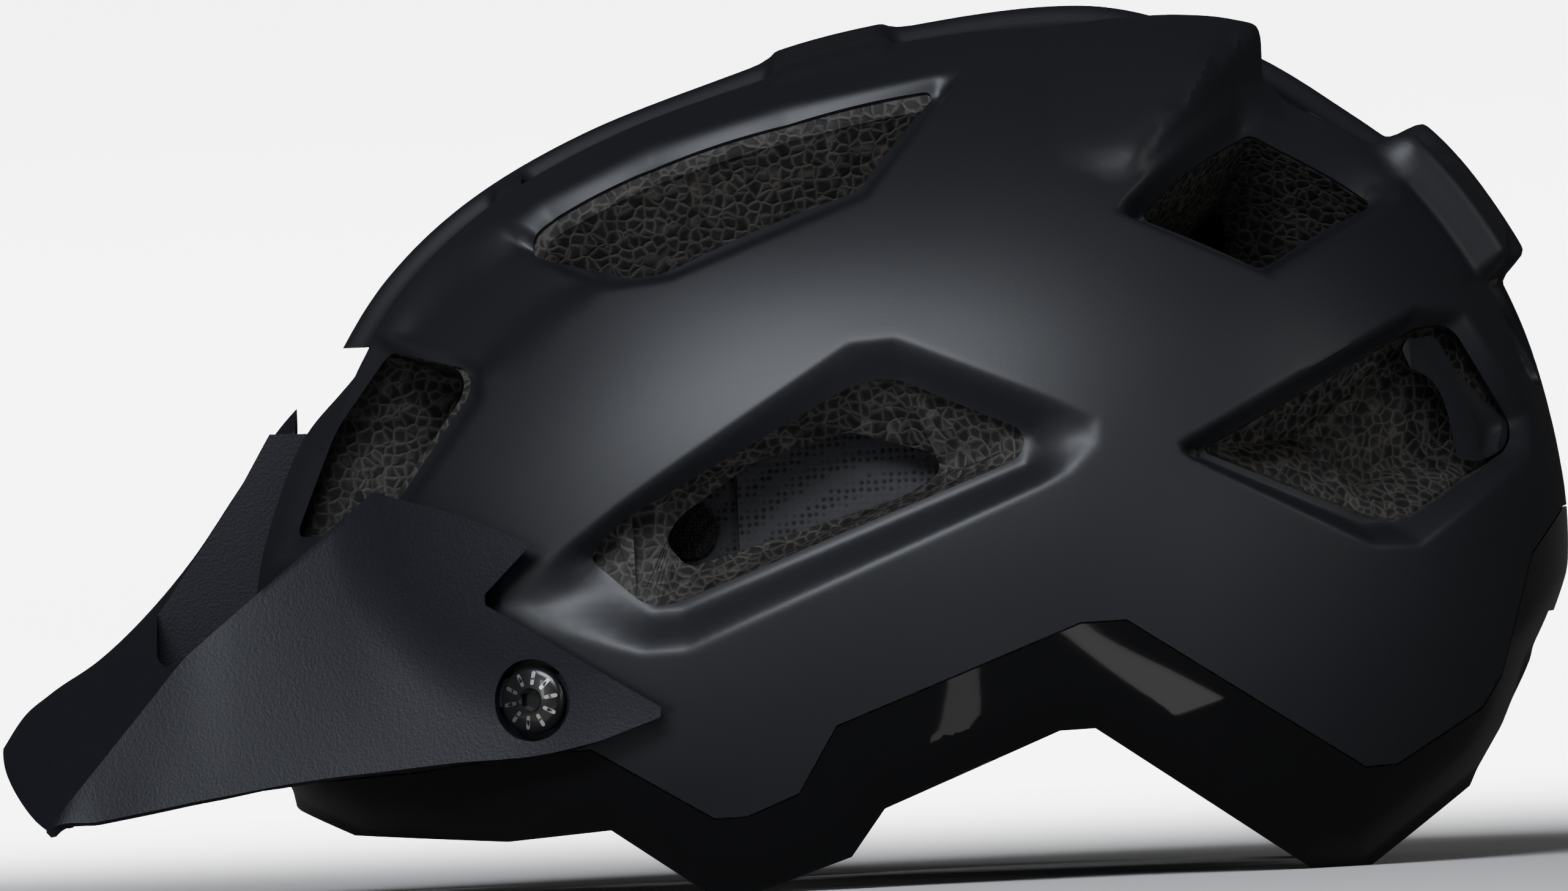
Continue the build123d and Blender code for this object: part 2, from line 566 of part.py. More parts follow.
# ---------------------------------------------------------------- fit system
BELT_POWER = 2.6
BELT_HALF_WIDTH = CAVITY_WIDTH / 2 - BELT_DEPTH - 4.0
BELT_REAR_Y = 27.0  # where each belt ends, beside the dial housing
YOKE_HALF_WIDTH = 26.5
GEAR_X = CRADLE_BACK_X + RACK_CLEARANCE + HOUSING_WALL + RACK_CLEARANCE  # front face of the racks
HOUSING_FRONT_X = CRADLE_BACK_X + RACK_CLEARANCE
HOUSING_BACK_X = GEAR_X + RACK_THICKNESS + RACK_CLEARANCE
KNOB_X = HOUSING_BACK_X + HOUSING_WALL + KNOB_GAP
PITCH_RADIUS = PINION_TEETH * GEAR_MODULE / 2
PRESSURE_ANGLE = math.radians(25)
ADDENDUM, DEDENDUM = 0.8 * GEAR_MODULE, 1.05 * GEAR_MODULE
HOUSING_HALF_HEIGHT = PITCH_RADIUS + RACK_BACK + RACK_CLEARANCE
CLIP_Z = 74.0
CLIP_HEIGHT = 10.0
CLIP_WALL = 1.5
STRIP_X = CRADLE_BACK_X + CLIP_WALL + CLIP_CLEARANCE + STRIP_THICKNESS / 2


def belt_form(inset, z0, z1):
    """Upright prism of the band that goes round the head."""
    front, back = CAVITY_MIDDLE - CAVITY_LENGTH / 2 + BELT_DEPTH + inset, CRADLE_BACK_X - inset
    middle, reach = (front + back) / 2, (back - front) / 2
    spots = [slice_point(middle, reach, BELT_HALF_WIDTH - inset, 2 * math.pi * i / SLICE_POINTS, BELT_POWER,
                         CAVITY_FULLNESS) for i in range(SLICE_POINTS)]
    return extrude(make_face(Spline(*[Vector(x, y, z0) for x, y in spots], periodic=True)), amount=z1 - z0)


def belt_ring(z0, z1, inset=0.0, thickness=BELT_THICKNESS):
    return belt_form(inset, z0, z1) - belt_form(inset + thickness, z0 - 1, z1 + 1)


def belt():
    """Left band from its pivot at the temple back to the dial."""
    half, x, z = BELT_HEIGHT / 2, BELT_PIVOT_X, BELT_PIVOT_Z
    side = [(x - 8, z - half), (x + 10, z - half), (x + 40, DIAL_Z - half), (FAR, DIAL_Z - half),
            (FAR, DIAL_Z + half), (x + 40, DIAL_Z + half), (x + 10, z + half), (x - 8, z + half)]
    band = belt_ring(0, 80) & side_prism(side, -FAR / 2, -BELT_REAR_Y)
    return band - Pos(x, -60, z) * Rot(90, 0, 0) * Cylinder(BELT_PIN_RADIUS + BEARING_CLEARANCE, 60)


def belt_pin():
    """Left moulded-in pin that the belt turns on."""
    inner_end = belt_reach(BELT_PIVOT_X + BELT_PIN_RADIUS + 2) - 6.0
    root = cavity_half_width(BELT_PIVOT_X, BELT_PIVOT_Z) + 5
    outline = Plane.XZ.offset(inner_end) * Pos(BELT_PIVOT_X, BELT_PIVOT_Z) * Circle(BELT_PIN_RADIUS)
    return extrude(outline, amount=root - inner_end)


def belt_reach(x):
    """Half-width of the belt at one place along X."""
    front, back = CAVITY_MIDDLE - CAVITY_LENGTH / 2 + BELT_DEPTH, CRADLE_BACK_X
    u = (x - (front + back) / 2) / ((back - front) / 2)
    return BELT_HALF_WIDTH * (1 - abs(u) ** BELT_POWER) ** (1 / BELT_POWER) * (1 + CAVITY_FULLNESS * u)


def strip_frame():
    """Frame at the middle of the height strip, whose Z runs the way that the cradle swings."""
    dx, dz = STRIP_X - BELT_PIVOT_X, CLIP_Z - BELT_PIVOT_Z
    return Plane(origin=(STRIP_X, 0, CLIP_Z), x_dir=(dx, 0, dz), z_dir=(-dz, 0, dx))


def height_strip():
    """Notched strip on the foam that sets how low the cradle sits."""
    frame = strip_frame()
    strip = frame * Box(STRIP_THICKNESS, STRIP_WIDTH, STRIP_LENGTH)
    for side in (-1, 1):
        foot = frame * (Pos(15, 0, side * (STRIP_LENGTH / 2 - 2)) * Box(30, 5, 4))
        strip += foot & cavity(-4)
    for k in range(-4, 5):
        strip -= frame * (Pos(-STRIP_THICKNESS / 2, 0, k * 3.2) * Box(0.9, STRIP_WIDTH + 1, 1.2))
    return strip


def yoke():
    """Neck cradle with the clip that rides on the height strip."""
    low, high = 12.0, 60.0
    plate = belt_ring(low, high) & block(CAVITY_MIDDLE, FAR, -YOKE_HALF_WIDTH, YOKE_HALF_WIDTH, low, high)
    for side in (-1, 1):
        plate -= block(CAVITY_MIDDLE, FAR, side * 13.5 - 6, side * 13.5 + 6, 43, 54)
    neck = belt_ring(high - 1, CLIP_Z - 2) & block(CAVITY_MIDDLE, FAR, -5, 5, high - 1, CLIP_Z - 2)
    frame = strip_frame()
    space = STRIP_THICKNESS + 2 * CLIP_CLEARANCE, STRIP_WIDTH + 2 * CLIP_CLEARANCE
    clip = frame * Box(space[0] + 2 * CLIP_WALL, space[1] + 2 * CLIP_WALL, CLIP_HEIGHT)
    clip += frame * (Pos(-space[0] / 2 - CLIP_WALL - 1, 0, -CLIP_HEIGHT / 4) * Box(3, 10, CLIP_HEIGHT / 2))
    clip -= frame * Box(space[0], space[1], CLIP_HEIGHT + 1)
    clip -= frame * (Pos(6, 0, 0) * Box(12, 5 + 2 * CLIP_CLEARANCE + 1, CLIP_HEIGHT + 1))
    spindle = Pos(CRADLE_BACK_X, 0, DIAL_Z) * Rot(0, 90, 0) * Cylinder(SPINDLE_RADIUS + 1, 8)
    return plate + neck + clip - spindle


def cradle_pad():
    """Left soft pad on the inside of the yoke."""
    layer = belt_ring(14, 40, BELT_THICKNESS + RACK_CLEARANCE, 4.0)
    return layer & block(CAVITY_MIDDLE, FAR, -YOKE_HALF_WIDTH, -5, 14, 40)


def rack(side):
    """Toothed strip pulled in by the dial: -1 is the left one, above the pinion."""
    pitch = math.pi * GEAR_MODULE
    half = (pitch / 2 - GEAR_BACKLASH / 2) / 2
    lean = math.tan(PRESSURE_ANGLE)
    teeth = []
    first, last = -int(RACK_INNER / pitch) - 3, int(RACK_INNER / pitch)
    for k in range(first, last):
        middle = (k + 0.5) * pitch
        teeth += [(middle - half - DEDENDUM * lean, DEDENDUM), (middle - half + ADDENDUM * lean, -ADDENDUM),
                  (middle + half - ADDENDUM * lean, -ADDENDUM), (middle + half + DEDENDUM * lean, DEDENDUM)]
    outline = [(-RACK_OUTER, RACK_BACK), (-RACK_OUTER, -ADDENDUM), (-RACK_OUTER + 8, -ADDENDUM),
               (-RACK_OUTER + 8, DEDENDUM), *teeth, (RACK_INNER, DEDENDUM), (RACK_INNER, RACK_BACK)]
    spots = [(-side * y, DIAL_Z - side * (PITCH_RADIUS + z)) for y, z in outline]
    return end_prism(spots, GEAR_X, GEAR_X + RACK_THICKNESS)


def pinion():
    """Spindle and its small gear, on the dial's axis."""
    base = PITCH_RADIUS * math.cos(PRESSURE_ANGLE)
    half_pitch = (math.pi * GEAR_MODULE / 2 - GEAR_BACKLASH / 2) / 2 / PITCH_RADIUS
    involute = math.tan(PRESSURE_ANGLE) - PRESSURE_ANGLE
    flank = []
    for k in range(5):
        radius = base + (PITCH_RADIUS + ADDENDUM - base) * k / 4
        phi = math.acos(min(1.0, base / radius))
        flank.append((radius, half_pitch + involute - (math.tan(phi) - phi)))
    root = PITCH_RADIUS - DEDENDUM
    spots = []
    for k in range(PINION_TEETH):
        middle = math.pi / 2 + 2 * math.pi * k / PINION_TEETH
        sides = [(root, flank[0][1]), *flank]
        spots += [(r * math.cos(middle - a), r * math.sin(middle - a)) for r, a in sides]
        spots += [(r * math.cos(middle + a), r * math.sin(middle + a)) for r, a in reversed(sides)]
    gear = end_prism([(y, z + DIAL_Z) for y, z in spots], GEAR_X, GEAR_X + RACK_THICKNESS)
    length = KNOB_X + KNOB_THICKNESS * 0.6 - HOUSING_FRONT_X
    shaft = Pos(HOUSING_FRONT_X + length / 2, 0, DIAL_Z) * Rot(0, 90, 0) * Cylinder(SPINDLE_RADIUS, length)
    return gear + shaft


def spindle_bore():
    return Pos(KNOB_X, 0, DIAL_Z) * Rot(0, 90, 0) * Cylinder(SPINDLE_RADIUS + BEARING_CLEARANCE, 60)


def housing_front():
    half, z = HOUSING_HALF_LENGTH, HOUSING_HALF_HEIGHT + HOUSING_WALL
    body = block(HOUSING_FRONT_X, HOUSING_BACK_X, -half, half, DIAL_Z - z, DIAL_Z + z)
    body -= block(HOUSING_FRONT_X + HOUSING_WALL, HOUSING_BACK_X, HOUSING_WALL - half, half - HOUSING_WALL,
                  DIAL_Z - HOUSING_HALF_HEIGHT, DIAL_Z + HOUSING_HALF_HEIGHT)
    for side in (-1, 1):
        low, high = PITCH_RADIUS - ADDENDUM - RACK_CLEARANCE, HOUSING_HALF_HEIGHT
        ends = sorted((DIAL_Z - side * low, DIAL_Z - side * high))
        walls = sorted((side * (half + 1), side * (half - HOUSING_WALL - 1)))
        body -= block(HOUSING_FRONT_X + HOUSING_WALL, HOUSING_BACK_X, *walls, *ends)
    return body - spindle_bore()


def housing_back():
    half, z = HOUSING_HALF_LENGTH, HOUSING_HALF_HEIGHT + HOUSING_WALL
    body = block(HOUSING_BACK_X, HOUSING_BACK_X + HOUSING_WALL, -half, half, DIAL_Z - z, DIAL_Z + z)
    body = fillet(body.edges().filter_by(Axis.X), 4)
    return body - spindle_bore()


def dial_knob():
    body = Pos(KNOB_X + KNOB_THICKNESS / 2, 0, DIAL_Z) * Rot(0, 90, 0) * Cylinder(KNOB_RADIUS, KNOB_THICKNESS)
    body = fillet(body.edges().group_by(Axis.X)[-1], 1.6)
    for k in range(KNOB_LOBES):
        a = 2 * math.pi * k / KNOB_LOBES
        spot = Pos(KNOB_X, (KNOB_RADIUS + 0.9) * math.cos(a), DIAL_Z + (KNOB_RADIUS + 0.9) * math.sin(a))
        body -= spot * Rot(0, 90, 0) * Cylinder(1.8, KNOB_THICKNESS * 3)
    return body - (Pos(KNOB_X, 0, DIAL_Z) * Rot(0, 90, 0) * Cylinder(SPINDLE_RADIUS, KNOB_THICKNESS * 1.2))


# ---------------------------------------------------------------- assembly
def pair(name, left):
    """Left part and its mirror image."""
    return {f"{name}_left": left, f"{name}_right": mirror(left, about=Plane.XZ)}


def build():
    upper, lower, foam = shells_and_liner()
    nodes = {"upper_shell": upper, "lower_shell": lower, "foam_liner": foam, "visor": visor()}
    nodes |= pair("visor_screw", visor_screw()) | pair("visor_insert", visor_insert())
    nodes |= pair("strap_anchor_front", strap_anchor(*FRONT_ANCHOR))
    nodes |= pair("strap_anchor_rear", strap_anchor(*REAR_ANCHOR))
    nodes |= pair("strap_front", side_strap(FRONT_ANCHOR, 33)) | pair("strap_rear", side_strap(REAR_ANCHOR, 47))
    nodes |= pair("strap_divider", divider())
    nodes["chin_strap_left"] = chin_strap(BUCKLE_TONGUE_LENGTH - STRAP_ENTRY)
    nodes["chin_strap_right"] = mirror(chin_strap(BUCKLE_SOCKET_LENGTH - STRAP_ENTRY), about=Plane.XZ)
    nodes |= {"buckle_tongue": buckle_tongue(), "buckle_socket": buckle_socket()}
    for name in PAD_BOXES:
        if name.endswith("_right"):
            nodes |= pair(name.removesuffix("_right"), mirror(pad(name), about=Plane.XZ))
        else:
            nodes[name] = pad(name)
    nodes |= {"hook_dots": hook_dots()} | pair("vent_net", vent_net())
    nodes |= pair("belt", belt()) | pair("belt_pin", belt_pin()) | pair("cradle_pad", cradle_pad())
    nodes |= {"height_strip": height_strip(), "neck_yoke": yoke(), "dial_housing_front": housing_front()}
    nodes |= {"dial_housing_back": housing_back(), "dial_knob": dial_knob(), "dial_pinion": pinion()}
    nodes |= {"rack_left": rack(-1), "rack_right": rack(1)}
    for name, solid in nodes.items():
        export_step(solid, f"parts/{name}.step")
    print(len(nodes), "nodes written")


build()
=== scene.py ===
# %% [markdown]
# # A trail cycling helmet
# The CAD frame gives every part its place. This lesson gives the parts their looks: two thin plastic
# skins over bead foam, a long visor with its screws, soft pads, webbing and the fit dial inside.
# All shapes are worked out in millimetres and scaled to metres when a mesh becomes an object.

# %% Load the frame
import json
import math
import bmesh
import bpy
import numpy as np
from mathutils import Matrix, Vector


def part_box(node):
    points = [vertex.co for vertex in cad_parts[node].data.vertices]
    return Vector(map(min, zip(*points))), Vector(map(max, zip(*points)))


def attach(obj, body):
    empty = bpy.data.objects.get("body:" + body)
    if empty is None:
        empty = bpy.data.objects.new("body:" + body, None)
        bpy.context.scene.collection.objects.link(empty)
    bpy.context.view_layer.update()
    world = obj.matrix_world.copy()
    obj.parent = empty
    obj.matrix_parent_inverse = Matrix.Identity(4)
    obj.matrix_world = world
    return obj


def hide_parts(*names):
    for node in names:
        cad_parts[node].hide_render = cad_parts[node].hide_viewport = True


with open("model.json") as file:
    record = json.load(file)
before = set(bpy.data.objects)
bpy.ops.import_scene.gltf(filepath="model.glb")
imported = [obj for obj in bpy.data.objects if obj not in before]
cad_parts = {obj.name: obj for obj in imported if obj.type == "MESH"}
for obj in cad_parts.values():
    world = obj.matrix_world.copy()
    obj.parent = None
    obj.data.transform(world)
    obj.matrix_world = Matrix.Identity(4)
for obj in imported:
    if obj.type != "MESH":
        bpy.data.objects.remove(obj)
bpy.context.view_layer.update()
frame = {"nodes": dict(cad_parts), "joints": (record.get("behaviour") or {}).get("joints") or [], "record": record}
MM = 0.001


# %% [markdown]
# ## Small tools
# A cutter here is an outline with rounded corners, swept or lofted into a closed solid. The corners are
# rounded by beveling the outline's vertices, which keeps the number of typed points small.

# %% Mesh helpers
CORNER_STEPS = 5


def outwards(bm):
    """Turns the faces of a closed mesh to point out."""
    bmesh.ops.recalc_face_normals(bm, faces=bm.faces)


def copy_of(bm):
    mesh = bpy.data.meshes.new("copy")
    bm.to_mesh(mesh)
    twin = bmesh.new()
    twin.from_mesh(mesh)
    bpy.data.meshes.remove(mesh)
    return twin


def outline_face(bm, points, radius=0.0):
    """One flat face through the points, with rounded corners."""
    before = set(bm.faces)
    verts = [bm.verts.new(p) for p in points]
    bm.faces.new(verts)
    if radius:
        bmesh.ops.bevel(bm, geom=verts, offset=radius, offset_type="OFFSET", segments=CORNER_STEPS,
                        profile=0.5, affect="VERTICES", material=-1, clamp_overlap=True)
    return next(f for f in bm.faces if f not in before)


def loft(loops, radius=0.0):
    """Closed solid through outlines that have as many points each."""
    bm = bmesh.new()
    rings = []
    for points in loops:
        face = outline_face(bm, points, radius)
        rings.append((face, face.edges[:]))
    for (_, near), (_, far) in zip(rings, rings[1:]):
        bmesh.ops.bridge_loops(bm, edges=near + far)
    for face, _ in rings[1:-1]:
        bm.faces.remove(face)
    bmesh.ops.triangulate(bm, faces=bm.faces)
    outwards(bm)
    return bm


def side_prism(points, y_from, y_to, radius=0.0):
    return loft([[(x, y, z) for x, z in points] for y in (y_from, y_to)], radius)


def box(x0, x1, y0, y1, z0, z1):
    bm = bmesh.new()
    bmesh.ops.create_cube(bm, size=1.0)
    bmesh.ops.scale(bm, vec=(x1 - x0, y1 - y0, z1 - z0), verts=bm.verts)
    bmesh.ops.translate(bm, vec=((x0 + x1) / 2, (y0 + y1) / 2, (z0 + z1) / 2), verts=bm.verts)
    return bm


def object_from(bm, name, scale=1.0):
    mesh = bpy.data.meshes.new(name)
    bm.to_mesh(mesh)
    mesh.transform(Matrix.Scale(scale, 4))
    piece = bpy.data.objects.new(name, mesh)
    bpy.context.scene.collection.objects.link(piece)
    return piece


def boolean(bm, tools, operation="DIFFERENCE"):
    """bm with each closed tool taken away, joined on or kept."""
    work = object_from(bm, "work")
    helpers = [object_from(tool, "tool") for tool in tools]
    for helper in helpers:
        step = work.modifiers.new("cut", "BOOLEAN")
        step.object = helper
        step.operation = operation
        step.solver = "MANIFOLD"
    graph = bpy.context.evaluated_depsgraph_get()
    mesh = bpy.data.meshes.new_from_object(work.evaluated_get(graph))
    result = bmesh.new()
    result.from_mesh(mesh)
    for item in (work, *helpers):
        bpy.data.meshes.remove(item.data)
    bpy.data.meshes.remove(mesh)
    return result


def positions(bm):
    """Places of a mesh's vertices, one row each."""
    return np.array([v.co[:] for v in bm.verts])


def move_to(bm, places):
    for vert, place in zip(bm.verts, places):
        vert.co = place


def smoothed(bm, times, verts=None, along_x=True):
    """Moves each vertex halfway to its neighbours' middle, a few times over."""
    for _ in range(times):
        bmesh.ops.smooth_vert(bm, verts=verts or bm.verts[:], factor=0.5, use_axis_x=along_x, use_axis_y=True,
                              use_axis_z=True)


def thickened(bm, thickness):
    """Gives an open grid a wall on the side that its faces look away from."""
    bmesh.ops.solidify(bm, geom=bm.faces[:], thickness=thickness)
    outwards(bm)
    return bm


# %% [markdown]
# ## The helmet's outer form
# The shell is egg-shaped in every level slice. Three smooth curves say where each slice starts at the
# brow, where it ends at the back, and how wide it is. They run over the angle up from the widest level,
# so that the crown closes in a round top. A cube divided evenly and blown out onto this form gives
# well-shaped quads everywhere, with no pinched pole on the crown.

# %% Hull curves
LEVELS = np.array([-40, -14, 8, 28, 50, 72, 94, 115, 134, 150, 163, 173, 180, 184, 186.2])
FRONT = np.array([-80, -92, -102.5, -110.5, -114.8, -112.8, -105.3, -94.4, -81.5, -63, -38.5, -10, 14, 38,
                  66])
BACK = np.array([115, 134, 150, 160, 167.4, 169.6, 166.8, 161.0, 151.5, 139.5, 123.0, 108, 93, 82, 66])
HALF = np.array([84, 92.5, 98.5, 103, 105.6, 105.8, 102.8, 96.4, 87, 75.2, 61.8, 47.6, 33.6, 20, 0])
EQUATOR, TOP = 60.0, 186.2
SQUARENESS, BACK_FULLNESS = 2.2, 0.07
CENTRE = np.array([27.0, 0.0, 60.0])
LOWEST, LONGEST_RAY, HALVINGS = -39, 260.0, 34


def climb(z):
    """Angle up from the widest level."""
    return np.arcsin(np.clip((z - EQUATOR) / (TOP - EQUATOR), -1, 1))


def smooth_curve(at, places, values):
    """Cubic curve through the values, read at many places."""
    slopes = np.gradient(values, places)
    i = np.clip(np.searchsorted(places, at) - 1, 0, len(places) - 2)
    width = places[i + 1] - places[i]
    t = (at - places[i]) / width
    a, b = values[i], values[i + 1]
    return ((2 * t**3 - 3 * t**2 + 1) * a + (t**3 - 2 * t**2 + t) * width * slopes[i]
            + (3 * t**2 - 2 * t**3) * b + (t**3 - t**2) * width * slopes[i + 1])


STEPS = climb(LEVELS)


def hull_half_width(x, z):
    """How far the plain form reaches to each side at a side-view point, 0 outside it."""
    x, z = np.asarray(x, float), np.asarray(z, float)
    a = climb(z)
    front, back = smooth_curve(a, STEPS, FRONT), smooth_curve(a, STEPS, BACK)
    half = np.maximum(smooth_curve(a, STEPS, HALF), 0)
    u = np.clip((2 * x - front - back) / (back - front), -1, 1)
    reach = half * (1 - np.abs(u) ** SQUARENESS) ** (1 / SQUARENESS) * (1 + BACK_FULLNESS * u)
    return np.where(z < TOP, reach, 0.0)


def on_hull(directions):
    """Points where rays from the middle of the head meet the plain form."""
    low, high = np.zeros(len(directions)), np.full(len(directions), LONGEST_RAY)
    for _ in range(HALVINGS):
        middle = (low + high) / 2
        p = CENTRE + directions * middle[:, None]
        a = climb(p[:, 2])
        front, back = smooth_curve(a, STEPS, FRONT), smooth_curve(a, STEPS, BACK)
        inside = np.abs(p[:, 1]) < hull_half_width(p[:, 0], p[:, 2])
        inside &= (p[:, 0] > front) & (p[:, 0] < back) & (p[:, 2] > LOWEST)
        low, high = np.where(inside, middle, low), np.where(inside, high, middle)
    return CENTRE + directions * low[:, None]


# %% [markdown]
# ## Vents and the soft hollows round them
# Each vent has a sharp opening and a wider outline where the skin starts to dip towards it. Between the
# two, the depth follows the share of the way from one to the other, so the hollow may be narrow on one
# side and wide on the other, as it is round the big side vent.

# %% Outlines, side view in millimetres
SIDE_OPENING = [(-40.8, 72.5), (-32.4, 80.1), (17.6, 106.8), (25.5, 107.6), (52.9, 95.2), (52.0, 89.6),
                (-23, 61.6), (-28.5, 61.4)]
SIDE_HOLLOW = [(-62, 63.5), (-27.1, 87.5), (16.3, 115.8), (26.5, 116.4), (69, 98), (69, 91.5), (62, 85.5),
               (-20, 51), (-30, 50.6), (-52, 56.5)]
SIDE_THROAT = [(-24.2, 75), (-21, 80), (-5, 90.8), (15.5, 96.7), (33.9, 91.2), (35, 87), (26.8, 82.4),
               (-19.4, 69.1)]
LOW_OPENING = [(89.2, 89.6), (138, 114.2), (145, 113.5), (157.2, 92), (156, 87), (133.5, 73), (126, 73)]
LOW_HOLLOW = [(83, 90.5), (138, 118.6), (148, 117), (162.5, 95), (161.5, 85.5), (135.9, 67.2), (125.8, 67.6)]
HIGH_OPENING = [(79.9, 142.6), (104.3, 160.3), (130.6, 143.6), (105.6, 130.6)]
HIGH_HOLLOW = [(73, 141), (101, 167), (116, 172), (137, 146), (135, 140.5), (106, 125.5)]
FRONT_OPENING = [(-83.5, 117.8), (-67.0, 113.2), (-66, 108.6), (-83.5, 85), (-96, 78.8), (-105.4, 79),
                 (-96, 101.3)]
FRONT_HOLLOW = [(-86, 123), (-62, 116), (-60.5, 107), (-80, 80), (-94, 73.5), (-111, 74), (-101, 102)]
LONG_OPENING = [(-51, 141.3), (-46.6, 145.5), (-24.2, 155.8), (4.8, 163.8), (37.5, 169.6), (19.9, 149.3),
                (-21.7, 133.6), (-30, 132.8)]
LONG_HOLLOW = [(-60, 142), (-48, 149), (-25, 159.5), (5, 167.2), (45, 173.2), (22, 145.8), (-21, 130),
               (-34, 128.5)]
GULLY = [(-84, 121), (-63, 108.5), (-44, 124), (-28, 131), (-40, 140), (-56, 146), (-74, 136)]
GULLY_FLOOR = [(-78, 123), (-66, 116), (-48, 131), (-40, 134), (-52, 141), (-68, 133)]
WING_EDGE = [(60, 200), (60, 150), (76, 143.5), (101, 165.5), (114.5, 170.5), (118.5, 175), (114, 200)]
RIM = [(-150, 27), (-113, 27), (-105, 20.3), (-93, 14.9), (-60, 12.7), (-38, 14.4), (-17.5, 0), (-8, 0),
       (12.6, 6.9), (20, 16.8), (57.5, 31.7), (65, 31.9), (110, 0), (123, 0), (149, 18.3), (155.5, 27),
       (160.5, 42), (180, 62)]
SPLIT = [(-150, 26), (-102, 26.5), (-78.5, 28.1), (-56.4, 31), (-41.5, 31.6), (-16, 16.0), (-9, 16.2),
         (2, 20.6), (10.5, 34.6), (62.7, 54.2), (72.5, 54.4), (122.1, 21), (129, 21.2), (148, 32.2),
         (152.6, 39), (160.2, 64.5), (168, 74), (185, 78)]


# %% Distances to an outline
def to_outline(a, b, outline, closed=True):
    """Distance of many flat points from an outline, and whether they are inside it."""
    near = np.full(len(a), 1e9)
    inside = np.zeros(len(a), bool)
    ends = outline[1:] + outline[:1] if closed else outline[1:]
    for (x0, y0), (x1, y1) in zip(outline, ends):
        dx, dy = x1 - x0, y1 - y0
        t = np.clip(((a - x0) * dx + (b - y0) * dy) / (dx * dx + dy * dy), 0, 1)
        near = np.minimum(near, np.hypot(a - x0 - t * dx, b - y0 - t * dy))
        if closed and dy:
            inside ^= ((y0 > b) != (y1 > b)) & (a < (b - y0) * dx / dy + x0)
    return near, inside


def ease(t):
    t = np.clip(t, 0, 1)
    return t * t * (3 - 2 * t)


def hollow(a, b, opening, rim):
    """1 over the opening, falling softly to 0 at the rim."""
    to_open, in_open = to_outline(a, b, opening)
    to_rim, in_rim = to_outline(a, b, rim)
    share = ease(to_rim / (to_open + to_rim + 1e-6))
    return np.where(in_open, 1.0, np.where(in_rim, share, 0.0))


def band(t, start, end, soft):
    """1 between start and end, falling to 0 over the soft width outside them."""
    return ease((t - start + soft) / soft) * ease((end + soft - t) / soft)


# %% [markdown]
# ## Crown channels
# Two channels run from the brow to the back either side of a middle rib. Cross bridges interrupt them, and
# the openings lie between the bridges. The ridges outside the channels end in two raised wings at the back.

# %% Surface relief
CROWN_OPENINGS = [  # x from, x to, y from, y to at the front, y to at the back
    (-78, -60, 9, 21, 24), (-52, -2, 9, 25, 28), (31, 98, 9, 27, 24), (116, 139, 9, 22, 19),
]
RIB_HALF, CHANNEL_OUT = 7.0, 31.0


def relief(p):
    """How far the finished skin stands out from the plain form, in millimetres."""
    x, y, z = p[:, 0], np.abs(p[:, 1]), p[:, 2]
    side = ease((y - 20) / 14)
    out = -7.0 * hollow(x, z, SIDE_OPENING, SIDE_HOLLOW)
    out -= 6.5 * hollow(x, z, LOW_OPENING, LOW_HOLLOW)
    out -= 7.5 * hollow(x, z, HIGH_OPENING, HIGH_HOLLOW) * side
    out -= 3.5 * hollow(x, z, FRONT_OPENING, FRONT_HOLLOW) * side
    out -= 4.0 * hollow(x, z, LONG_OPENING, LONG_HOLLOW)
    out -= 3.5 * hollow(x, z, GULLY_FLOOR, GULLY)
    up = ease((z - 84) / 26)
    channel = band(y, RIB_HALF + 3, CHANNEL_OUT - 6, 5) * up * ease((x + 104) / 14) * ease((168 - x) / 12)
    bridge = band(x, -58, -54, 3) + band(x, 4, 25, 5) + band(x, 143, 152, 4)
    out -= 4.6 * channel * (1 - 0.85 * np.clip(bridge, 0, 1))
    out += 1.6 * band(x, 4, 27, 2.5) * band(y, 0, 34, 5) * ease((z - 150) / 10)
    out += 7.5 * band(x + 0.55 * (z - 140), 140, 158, 3) * band(y, 0, 30, 6) * band(z, 126, 152, 3)
    edge, in_wing = to_outline(x, z, WING_EDGE)
    lift = 11.5 * ease((x - 58) / 56) * np.where(in_wing, ease(edge / 5.5), 0)
    out += lift * band(y, 24, 70, 6)
    to_rim, _ = to_outline(x, z, RIM, closed=False)
    out -= 2.6 * np.clip(1 - to_rim / 7.0, 0, 1)
    return out


def needs_detail(p, reach):
    """True close to a feature line, where the mesh is divided once more."""
    x, y, z = p[:, 0], np.abs(p[:, 1]), p[:, 2]
    close = to_outline(x, z, RIM, closed=False)[0] < 2 * reach
    for line in (SIDE_OPENING, SIDE_HOLLOW, LOW_OPENING, LOW_HOLLOW, HIGH_OPENING, HIGH_HOLLOW, FRONT_OPENING,
                 FRONT_HOLLOW, LONG_OPENING, LONG_HOLLOW, WING_EDGE):
        close |= to_outline(x, z, line)[0] < reach
    for edge in (RIB_HALF, CHANNEL_OUT - 2):
        close |= (z > 86) & (np.abs(y - edge) < 1.3 * reach)
    close |= (x > 128) & (y < 40) & (z > 118)
    return close & (z > -8)


